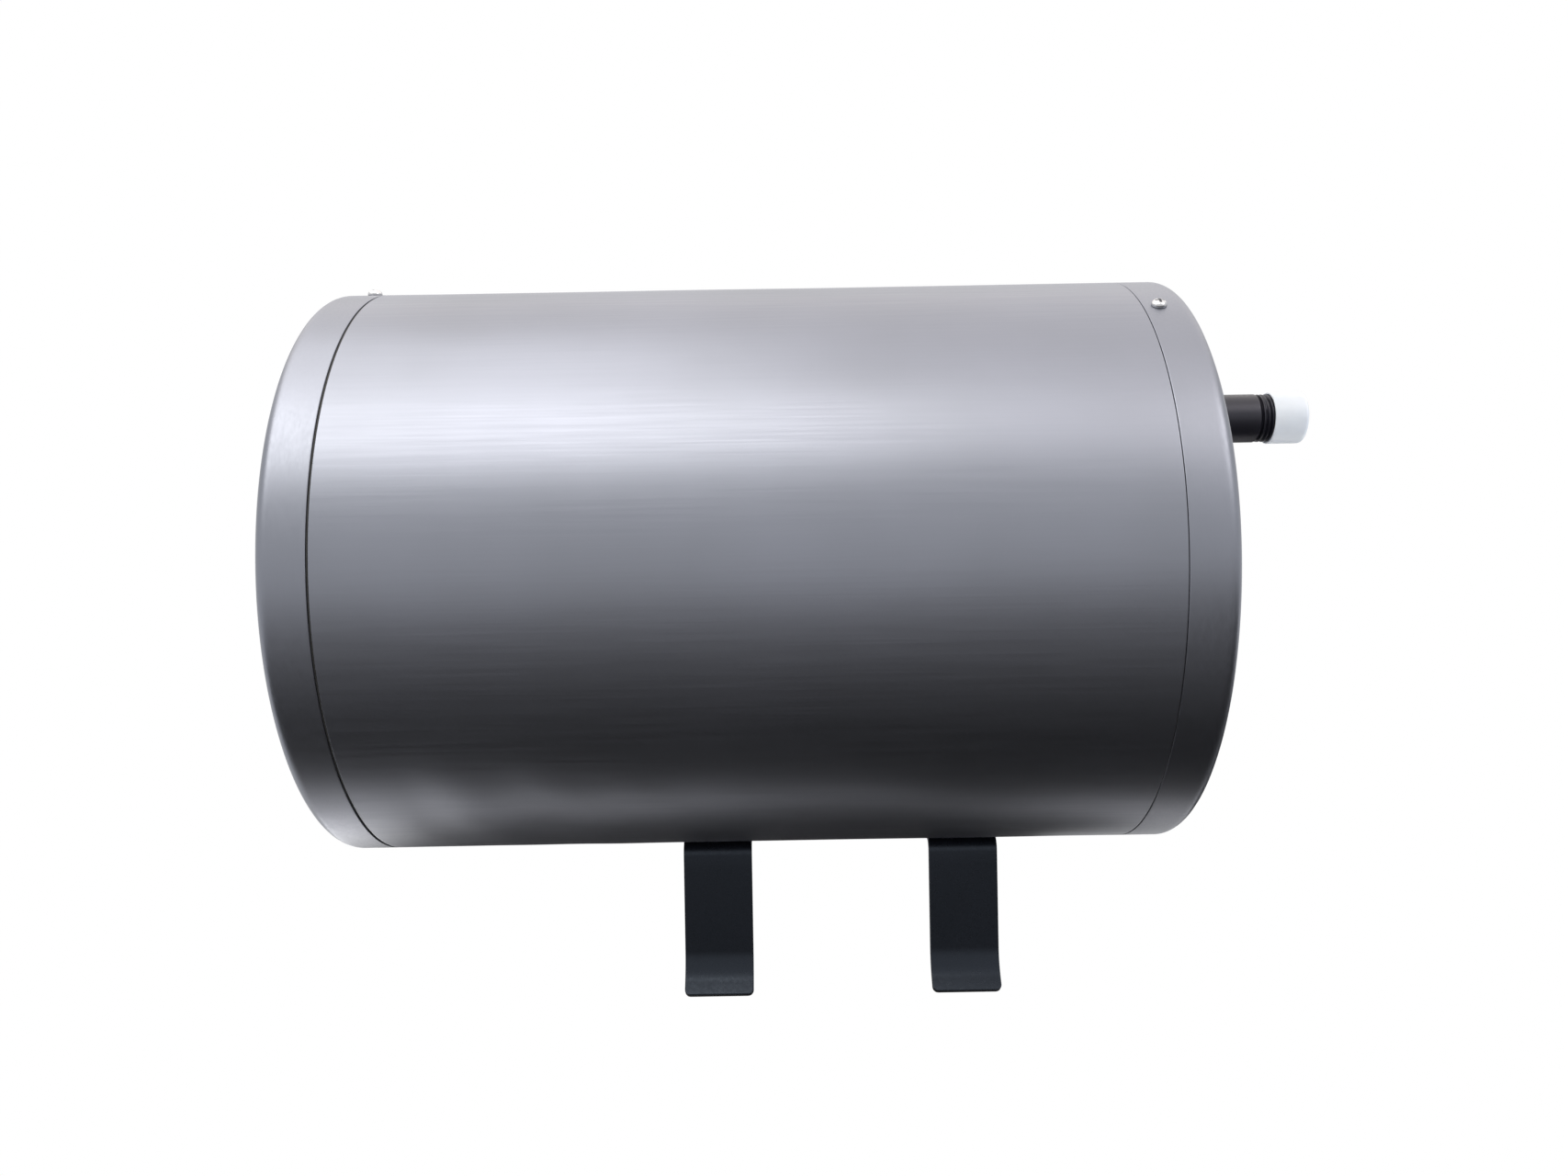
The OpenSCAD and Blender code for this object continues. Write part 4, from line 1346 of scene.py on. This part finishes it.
@dataclass
class WaterPipe:
    """A threaded steel pipe with its rubber grommet.

    Attributes:
        water: What the pipe carries.
        z: Height above the drum's axis.
        tip: X of the open end.
        turns: Number of turns of the thread.
        start: X of the inner end.
        radius: Outer radius.
        bore: Inner radius.
        crest: Radius over the thread.
        depth: Depth of the thread.
        pitch: Pitch of the thread.
        pitch_rows: Number of rows along each turn.
        flank: Steepness of the thread's sides, in depths for each half pitch.
        flat: Share of the depth that is taken off for flat crests.
        neck: Starts of the neck's slope and floor, before the thread.
        mouth: Bevels outside and inside the open end.
        segments: Number of steps round the pipe.
        lip_r: Radius of the grommet's lips.
        lip_taper: How much smaller its front lip is at the face.
        groove_r: Radius of the groove that holds the cap's sheet.
        lip_in: Thickness of the grommet behind the panel's face.
        lip_out: Thickness of the grommet before it.
    """

    water: Water
    z: float
    tip: float
    turns: int
    start: float = 131.26
    radius: float = 10.65
    bore: float = 8.0
    crest: float = 10.4775
    depth: float = 1.0
    pitch: float = 1.814
    pitch_rows: int = 16
    flank: float = 1.5
    flat: float = 0.3
    neck: tuple[float, float] = (1.5, 0.3)
    mouth: tuple[float, float] = (0.9, 0.4)
    segments: int = 128
    lip_r: float = 16.5
    lip_taper: float = 0.4
    groove_r: float = 13.45
    lip_in: float = 3.0
    lip_out: float = 2.0

    @property
    def begin(self) -> float:
        """X of the thread's first turn."""
        return self.tip - self.turns * self.pitch

    @property
    def hole(self) -> tuple[float, float, float]:
        """Y, Z and radius of the hole for its grommet in the cap."""
        return (0.0, self.z, self.groove_r + GAP)

    def thread(self, r: Array, x: Array, t: Array) -> Array:
        """Cuts a right-hand screw thread into the pipe's end.

        With u = x / pitch + t / 2 pi, less its whole part, the groove's depth follows
        flank |2 u - 1| - flat, held between 0 and 1, so crests and roots are flat. It rises from
        nothing over the thread's first turn.

        Args:
            r: Radius of the plain pipe.
            x: Place along the pipe.
            t: Angle round the pipe.

        Returns:
            The radius with its thread.
        """
        turn = np.mod(x / self.pitch + t / (2 * np.pi), 1.0)
        groove = np.clip(self.flank * np.abs(2 * turn - 1) - self.flat, 0, 1)
        outside = (r > (self.bore + self.crest - self.depth) / 2) & (x > self.begin)
        grown = np.clip((x - self.begin) / self.pitch, 0, 1)
        return np.where(outside, r - self.depth * groove * grown, r)

    def pipe(self) -> Surface:
        """Turns the pipe: outside with a neck before its thread, bevelled mouth, and bore.

        Returns:
            The pipe.
        """
        root, begin, tip = self.crest - self.depth, self.begin, self.tip
        slope, floor = self.neck
        outer, inner = self.mouth
        neck = [
            (self.radius, self.start, 0), (self.radius, begin - slope, 0.8),
            (root, begin - floor, 0.3), (root, begin, 0),
        ]
        rows = np.arange(begin, tip - outer, self.pitch / self.pitch_rows)[1:]
        threaded = np.stack([np.full_like(rows, self.crest), rows], -1)
        mouth = [
            (self.crest, tip - outer), (self.crest - outer, tip), (self.bore + inner, tip),
            (self.bore, tip - inner), (self.bore, self.start),
        ]
        profile = np.concatenate([rounded(neck, closed=False)[:-1], threaded, mouth])
        return turned(profile, True, (0.0, self.z), self.segments, self.thread)

    def grommet(self) -> Surface:
        """Turns the grommet: two round lips on both sides of the cap's sheet.

        Returns:
            The grommet.
        """
        inner, lip, groove = self.radius + GAP, self.lip_r, self.groove_r
        back, sheet_back = PANEL_X - self.lip_in, PANEL_X - SHEET - GAP
        sheet_face, front = PANEL_X + GAP, PANEL_X + self.lip_out
        section = [
            (inner, back, 0.3), (lip, back, 0.8), (lip, sheet_back, 0.3), (groove, sheet_back, 0),
            (groove, sheet_face, 0), (lip, sheet_face, 0.3), (lip - self.lip_taper, front, 0.9),
            (inner, front, 0.5),
        ]
        return turned(rounded(section, closed=True), ring=True, axis=(0.0, self.z))

    def build(self, maker: Maker) -> None:
        """Makes the pipe and its grommet.

        Args:
            maker: Makes the pieces.
        """
        word, use = self.water.name.lower(), self.water.value
        maker.piece(f"{word}_pipe", self.pipe(), PIPE_ENAMEL, [f"{word}_{use}_pipe"])
        maker.piece(f"{word}_pipe_grommet", self.grommet(), RUBBER, [f"{use}_grommet"])


@dataclass
class OutletCover:
    """The push-on polythene cover over the outlet's thread.

    Attributes:
        z: Height above the drum's axis.
        edge: X of the open edge.
        end: X of the closed end.
        inner: Inner radius.
        wall: Wall thickness.
        end_wall: Thickness of the closed end.
        end_edges: Rounding of the closed end, outside and inside.
        lip: Rounding of the open edge.
        hub_r: Radius of the middle, which a fan of faces closes.
        flat_share: Share of the radius up to a spare row that keeps the end flat.
    """

    z: float = OUTLET_Z
    edge: float = 228.3
    end: float = 243.3
    inner: float = 10.5475
    wall: float = 0.8
    end_wall: float = 1.2
    end_edges: tuple[float, float] = (1.4, 0.6)
    lip: float = 0.3
    hub_r: float = 0.4
    flat_share: float = 0.6

    def surface(self) -> Surface:
        """Turns the cup, with a rounded mouth and a rounded closed end.

        Returns:
            The cover.
        """
        inner, outer, hub = self.inner, self.inner + self.wall, self.hub_r
        end, floor = self.end, self.end - self.end_wall
        section = [
            (hub, end, 0), (outer * self.flat_share, end, 0), (outer, end, self.end_edges[0]),
            (outer, self.edge, self.lip), (inner, self.edge, self.lip),
            (inner, floor, self.end_edges[1]), (inner * self.flat_share, floor, 0),
            (hub, floor, 0),
        ]
        return turned(rounded(section, closed=False), ring=False, axis=(0.0, self.z))

    def build(self, maker: Maker) -> None:
        """Makes the cover, which rides on its own sliding body.

        Args:
            maker: Makes the piece.
        """
        nodes = ["hot_outlet_cover"]
        maker.piece("outlet_thread_cover", self.surface(), POLYTHENE, nodes, body=OUTLET_COVER)


@dataclass
class CableGland:
    """The cable gland on the left cap: six-sided body and domed clamp nut.

    Attributes:
        y: Place to the rear of the axis.
        z: Place above the axis.
        panel_x: Face of the left cap's panel.
        flats: Size across flats.
        corner_r: Radius over the corners.
        thread_r: Radius of both threads.
        seal_r: Radius of the seal's seat.
        bore: Radius of the cable hole.
        tail: Length of the tail inside the cap.
        collar: Length of the six-sided collar.
        collar_bevel: Width and length of the collar's bevel.
        stub: Distance of the stub's mouth from the panel.
        nut_bevel: Width and length of the nut's bevel.
        nut_flats: Length of the nut's flats.
        nut_slope: Length up to the end of the dome's slope, and its radius there.
        nut_mouth: Radius of the dome's flat mouth.
        nut_len: Length of the nut.
        nut_depth: Depth of the nut's thread.
    """

    y: float = 48.0
    z: float = -40.0
    panel_x: float = -PANEL_X
    flats: float = 24.0
    corner_r: float = 13.6
    thread_r: float = 10.0
    seal_r: float = 7.0
    bore: float = 4.5
    tail: float = 10.0
    collar: float = 6.0
    collar_bevel: tuple[float, float] = (1.0, 0.8)
    stub: float = 14.0
    nut_bevel: tuple[float, float] = (0.7, 0.8)
    nut_flats: float = 10.5
    nut_slope: tuple[float, float] = (15.6, 10.6)
    nut_mouth: float = 7.4
    nut_len: float = 17.0
    nut_depth: float = 8.3

    @property
    def hole(self) -> tuple[float, float, float]:
        """Y, Z and radius of its hole in the cap."""
        return (self.y, self.z, self.thread_r + GAP)

    def six_sided_piece(self, section: list[Corner]) -> Surface:
        """Turns a rounded section about the gland's line, cut to its flats."""
        line, bar = (self.y, self.z), six_sided(self.flats)
        return turned(rounded(section, closed=True), True, line, HEX_STEPS, bar)

    def body(self) -> Surface:
        """Turns the body: threaded tail, six-sided collar and stub with a wide mouth for the seal.

        Returns:
            The body.
        """
        p, thread, corner = self.panel_x, self.thread_r, self.corner_r
        seat, tail, stub, collar = p - GAP, p + self.tail, p - self.stub, p - self.collar
        width, length = self.collar_bevel
        section = [
            (thread, tail, 0.4), (thread, seat, 0), (corner, seat, 0),
            (corner, collar + length, 0.4), (corner - width, collar, 0), (thread, collar, 0),
            (thread, stub, 0.4), (self.seal_r, stub, 0.3), (self.seal_r, p, 0),
            (self.bore, p, 0.3), (self.bore, tail, 0.3),
        ]
        return self.six_sided_piece(section)

    def nut(self) -> Surface:
        """Turns the clamp nut: six flats that run into a dome with a round mouth.

        Returns:
            The nut.
        """
        base = self.panel_x - self.collar - GAP
        thread, corner = self.thread_r + GAP, self.corner_r
        end, depth = base - self.nut_len, base - self.nut_depth
        width, length = self.nut_bevel
        slope, slope_r = self.nut_slope
        section = [
            (thread, base, 0.2), (corner - width, base, 0), (corner, base - length, 0.4),
            (corner, base - self.nut_flats, 1.0), (slope_r, base - slope, 3.0),
            (self.nut_mouth, end, 0.8), (self.bore, end, 0.7), (self.bore, depth, 0),
            (thread, depth, 0),
        ]
        return self.six_sided_piece(section)

    def build(self, maker: Maker) -> None:
        """Makes the gland's body and nut.

        Args:
            maker: Makes the pieces.
        """
        maker.piece("gland_body", self.body(), NYLON, ["cable_gland_body"])
        maker.piece("gland_nut", self.nut(), NYLON, ["cable_gland_nut"])


@dataclass
class Inside:
    """The pieces inside the casing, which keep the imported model's solids.

    Attributes:
        finishes: Finish to the names of its solids.
    """

    finishes: tuple[tuple[Finish, tuple[str, ...]], ...] = (
        (
            STAINLESS,
            (
                "tank_shell", "tank_left_head", "tank_right_head", "tank_neck", "flange_plate",
                "thermostat_pocket", "hot_pickup_tube", "cold_inlet_spreader",
            ),
        ),
        (ZINC_PLATE, ("hanger_nuts", "flange_bolts", "anode_nut")),
        (RUBBER, ("flange_gasket", "cable_gland_seal")),
        (COPPER, ("heating_element",)),
        (CERAMIC, ("element_terminals",)),
        (PHENOLIC, ("thermostat_housing",)),
        (RED_ABS, ("thermostat_dial", "thermostat_reset_button")),
        (BRASS, ("thermostat_rod", "earth_stud", "earth_nuts")),
        (MAGNESIUM, ("anode_rod",)),
        (FOAM, ("insulation_jacket", "insulation_left_ring", "insulation_right_disc")),
        (NYLON, ("cable_gland_locknut",)),
    )

    def dress(self, nodes: dict[str, bpy.types.Object], workshop: Workshop) -> None:
        """Gives each solid its finish.

        Args:
            nodes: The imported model's objects by name.
            workshop: Where the finishes are made.
        """
        for finish, names in self.finishes:
            for name in names:
                slots = nodes[name].data.materials
                slots.clear()
                slots.append(workshop.material(finish))
                log.info("%s: %s", name, finish.name)


# The middle of the drum, in metres, which most lamps face.
MIDDLE: Place = (-0.035, -0.123, -0.137)


@dataclass(frozen=True)
class Lamp:
    """A flat lamp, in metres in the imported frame.

    Attributes:
        name: The lamp's name.
        place: Where it hangs.
        aim: The point that it faces.
        size: Its width and height.
        radiance: How bright its face is, with 1 for white.
        colour: The colour of its light.
        mirrored: Whether gloss shows it, or only matte surfaces take its light.
    """

    name: str
    place: Place
    aim: Place
    size: tuple[float, float]
    radiance: float
    colour: str
    mirrored: bool = True

    def hang(self) -> None:
        """Hangs the lamp, level from side to side, where the camera doesn't see it."""
        width, height = self.size
        data = bpy.data.lights.new(self.name, "AREA")
        data.shape, data.size, data.size_y = "RECTANGLE", width, height
        data.energy = self.radiance * math.pi * width * height
        data.color = linear(self.colour)[:3]
        lamp = bpy.data.objects.new(self.name, data)
        back = np.array(self.place) - np.array(self.aim)
        back /= np.linalg.norm(back)
        right = np.array([1.0, 0.0, 0.0]) - back[0] * back
        right /= np.linalg.norm(right)
        turn = np.eye(4)
        turn[:3] = np.stack([right, np.cross(back, right), back, np.array(self.place)], -1)
        lamp.matrix_world = Matrix(turn.tolist())
        lamp.visible_camera = False
        lamp.visible_glossy = self.mirrored
        bpy.context.scene.collection.objects.link(lamp)


@dataclass
class Studio:
    """The white studio: camera, soft lamps, world, floor and the dark cards that gloss mirrors.

    Attributes:
        eye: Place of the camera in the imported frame, in metres, as are the other sizes here.
        roll_deg: How far the camera leans.
        focal_px: Focal length in pixels of the photograph.
        width_px: Width of the photograph.
        sensor_mm: Width of the camera's sensor.
        clip_start: Nearest distance that the camera sees.
        lamps: The lamps.
        white: Colour of the background.
        fill: Light from the world on matte surfaces.
        floor_z: Height of the floor.
        floor_half: Half the width of the floor.
        floor_colour: Colour of the floor.
        floor_rough: Roughness of the floor.
        floor_middle: X and Y of the point below the object.
        floor_fade: Distances from that point between which the floor fades to white.
        card_z: Height of the dark cards, below the drum's middle.
        card_tilt: How far they rise to the right, for each metre.
        felt: Colours of the cards, near the drum and far in front of it.
        felt_fade: Y of those two places.
        cards: Names of the cards, with X and Y of their corners.
    """

    eye: Place = (-0.0228, -0.66375, -0.14695)
    roll_deg: float = 0.993
    focal_px: float = 1320.0
    width_px: float = 1707.0
    sensor_mm: float = 36.0
    clip_start: float = 0.01
    lamps: tuple[Lamp, ...] = (
        Lamp("key", (-1.00, -1.68, 1.90), MIDDLE, (2.9, 1.35), 3.25, "#fffdf6"),
        Lamp("high_key", (-0.50, -0.28, 0.85), MIDDLE, (1.0, 0.6), 1.3, "#fffdf6"),
        Lamp("right_key", (0.66, -0.66, 0.46), MIDDLE, (0.5, 0.45), 2.4, "#fffaf6"),
        Lamp(
            "ceiling", (-0.035, -0.15, 0.90), (-0.035, -0.149, -0.137), (3.0, 2.3), 0.7, "#fff2e8"
        ),
        Lamp(
            "low_left", (-0.44, 0.19, -0.66), (-0.19, -0.18, -0.24), (0.10, 0.28), 2.6, "#fffdfa"
        ),
        Lamp(
            "low_fill", (0.25, -0.40, -0.45), (0.20, -0.123, -0.075), (0.30, 0.30), 2.4, "#ffffff",
            mirrored=False,
        ),
    )
    white: str = "#ffffff"
    fill: float = 0.72
    floor_z: float = -1.1
    floor_half: float = 8.0
    floor_colour: str = "#f4f4f4"
    floor_rough: float = 0.9
    floor_middle: tuple[float, float] = (-0.035, -0.12)
    floor_fade: tuple[float, float] = (0.8, 1.3)
    card_z: float = -0.55
    card_tilt: float = 0.10
    felt: tuple[str, str] = ("#1a1a1c", "#b8b8ba")
    felt_fade: tuple[float, float] = (-0.35, -2.4)
    cards: tuple[tuple[str, Outline], ...] = (
        (
            "front_card",
            (
                (-1.8, -2.4), (1.8, -2.4), (1.8, 0.0), (0.50, -0.02), (0.25, -0.06),
                (0.16, -0.075), (0.11, -0.06), (0.07, -0.095), (0.04, -0.13), (-0.04, -0.13),
                (-0.11, -0.13), (-0.17, -0.12), (-0.28, -0.175), (-1.8, -0.25),
            ),
        ),
        (
            "back_card",
            (
                (-0.275, -0.06), (-0.17, -0.045), (-0.11, -0.05), (-0.04, -0.09), (0.04, -0.095),
                (0.08, -0.06), (0.14, -0.02), (0.21, 0.03), (0.24, 0.14), (0.20, 0.35),
                (0.42, 1.6), (-0.74, 1.6), (-0.32, 0.15),
            ),
        ),
        ("pipe_card", ((0.36, 0.03), (1.0, 0.03), (1.4, 1.3), (0.55, 1.3))),
    )

    def camera(self) -> None:
        """Sets the camera level along +Y, leaning a little about its line of sight."""
        data = bpy.data.cameras.new("camera")
        data.sensor_width, data.sensor_fit = self.sensor_mm, "HORIZONTAL"
        data.lens = self.sensor_mm * self.focal_px / self.width_px
        data.clip_start = self.clip_start
        camera = bpy.data.objects.new("camera", data)
        roll = math.radians(self.roll_deg)
        c, s = math.cos(roll), math.sin(roll)
        x, y, z = self.eye
        camera.matrix_world = Matrix(((c, s, 0, x), (0, 0, -1, y), (-s, c, 0, z), (0, 0, 0, 1)))
        bpy.context.scene.collection.objects.link(camera)
        bpy.context.scene.camera = camera

    @staticmethod
    def seen(tree: bpy.types.NodeTree) -> bpy.types.NodeSocket:
        """Tells the rays that see the background from those that light matte surfaces.

        Args:
            tree: The tree that gets the nodes.

        Returns:
            A socket with 1 for rays from the camera, and from gloss and glass, and 0 for the rest.
        """
        rays = add_node(tree, "ShaderNodeLightPath").outputs
        eye_or_gloss = {0: rays["Is Camera Ray"], 1: rays["Is Glossy Ray"]}
        pair = add_node(tree, "ShaderNodeMath", eye_or_gloss, operation="MAXIMUM")
        with_glass = {0: pair.outputs[0], 1: rays["Is Transmission Ray"]}
        return add_node(tree, "ShaderNodeMath", with_glass, operation="MAXIMUM").outputs[0]

    def world(self) -> None:
        """Makes the world white to the eye, and a soft fill to matte surfaces."""
        world = bpy.data.worlds.new("studio")
        world.use_nodes = True
        tree = world.node_tree
        tree.nodes.clear()
        white = linear(self.white)
        fill = add_node(tree, "ShaderNodeBackground", {"Color": white, "Strength": self.fill})
        bright = add_node(tree, "ShaderNodeBackground", {"Color": white, "Strength": 1.0})
        shares = {0: self.seen(tree), 1: fill.outputs[0], 2: bright.outputs[0]}
        mix = add_node(tree, "ShaderNodeMixShader", shares)
        add_node(tree, "ShaderNodeOutputWorld", {"Surface": mix.outputs[0]})
        bpy.context.scene.world = world

    @staticmethod
    def sheet(
        name: str, corners: Sequence[Place], material: bpy.types.Material
    ) -> bpy.types.Object:
        """Lays a flat sheet that belongs to the stage.

        Args:
            name: The sheet's name.
            corners: Its corners in order.
            material: What it is made of.

        Returns:
            The sheet.
        """
        mesh = bpy.data.meshes.new(name)
        mesh.from_pydata(corners, [], [tuple(range(len(corners)))])
        sheet = bpy.data.objects.new(name, mesh)
        bpy.context.scene.collection.objects.link(sheet)
        sheet.data.materials.append(material)
        return sheet

    def floor(self) -> None:
        """Lays a pale floor that fades into the white background well away from the object."""
        material = bpy.data.materials.new("pale_studio_floor")
        material.use_nodes = True
        tree = material.node_tree
        matte = tree.nodes["Principled BSDF"]
        matte.inputs["Base Color"].default_value = linear(self.floor_colour)
        matte.inputs["Roughness"].default_value = self.floor_rough
        place = add_node(tree, "ShaderNodeTexCoord").outputs["Object"]
        ends = {0: place, 1: (*self.floor_middle, self.floor_z)}
        away = add_node(tree, "ShaderNodeVectorMath", ends, operation="DISTANCE")
        near, far = self.floor_fade
        fade = add_node(
            tree,
            "ShaderNodeMapRange",
            {"Value": away.outputs["Value"], "From Min": near, "From Max": far},
            interpolation_type="SMOOTHSTEP",
        )
        both = {0: fade.outputs[0], 1: self.seen(tree)}
        share = add_node(tree, "ShaderNodeMath", both, operation="MULTIPLY")
        white = {"Color": linear(self.white), "Strength": 1.0}
        glow = add_node(tree, "ShaderNodeEmission", white)
        shares = {0: share.outputs[0], 1: matte.outputs[0], 2: glow.outputs[0]}
        mix = add_node(tree, "ShaderNodeMixShader", shares)
        tree.links.new(mix.outputs[0], tree.nodes["Material Output"].inputs["Surface"])
        h, z = self.floor_half, self.floor_z
        self.sheet("floor", [(-h, -h, z), (h, -h, z), (h, h, z), (-h, h, z)], material)

    def dark_cards(self) -> None:
        """Lays dark felt below the object, which only gloss sees.

        The drum's lower half mirrors the front and back cards, and the outlet pipe its own. The
        front card pales away from the drum, so that the dark fades in without an edge.
        """
        material = bpy.data.materials.new("dark_felt")
        material.use_nodes = True
        tree = material.node_tree
        felt = tree.nodes["Principled BSDF"]
        felt.inputs["Roughness"].default_value = 1.0
        place = add_node(tree, "ShaderNodeTexCoord").outputs["Object"]
        split = add_node(tree, "ShaderNodeSeparateXYZ", {0: place})
        near, far = self.felt_fade
        away = add_node(
            tree,
            "ShaderNodeMapRange",
            {"Value": split.outputs["Y"], "From Min": near, "From Max": far},
        )
        dark, pale = (linear(colour) for colour in self.felt)
        tint = add_node(
            tree,
            "ShaderNodeMix",
            {0: away.outputs[0], MIX_A: dark, MIX_B: pale},
            data_type="RGBA",
        )
        tree.links.new(tint.outputs[MIX_RESULT], felt.inputs["Base Color"])
        for name, outline in self.cards:
            corners = [(x, y, self.card_z + self.card_tilt * x) for x, y in outline]
            card = self.sheet(name, corners, material)
            card.visible_camera = card.visible_diffuse = False
            card.visible_shadow = card.visible_transmission = False

    def build(self) -> None:
        """Sets up the studio."""
        bpy.context.scene.view_settings.view_transform = "Standard"
        self.camera()
        for lamp in self.lamps:
            lamp.hang()
        self.world()
        self.floor()
        self.dark_cards()


def main() -> None:
    """Builds the pieces in order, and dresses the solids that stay."""
    logging.basicConfig(level=logging.INFO, format="%(name)s: %(message)s")
    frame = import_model()
    Studio().build()
    workshop = Workshop()
    maker = Maker(workshop)
    drum = Drum()
    gland = CableGland()
    outlet = WaterPipe(Water.HOT, z=OUTLET_Z, tip=241.8, turns=10)
    inlet = WaterPipe(Water.COLD, z=-OUTLET_Z, tip=204.8, turns=8)
    left_edge, right_edge = (drum.half_len + gap for gap in drum.seams)
    caps = [
        EndCap(Side.LEFT, left_edge, screw_deg=78.0, holes=[gland.hole]),
        EndCap(Side.RIGHT, right_edge, screw_deg=54.0, holes=[outlet.hole, inlet.hole]),
    ]
    straps = [Strap(Side.LEFT, x=-19.0), Strap(Side.RIGHT, x=89.0)]
    screws = HangerScrews([strap.x for strap in straps])
    for assembly in (drum, *caps, *straps, screws, outlet, inlet, OutletCover(), gland):
        assembly.build(maker)
    Inside().dress(frame["nodes"], workshop)


if __name__ == "__main__":
    main()
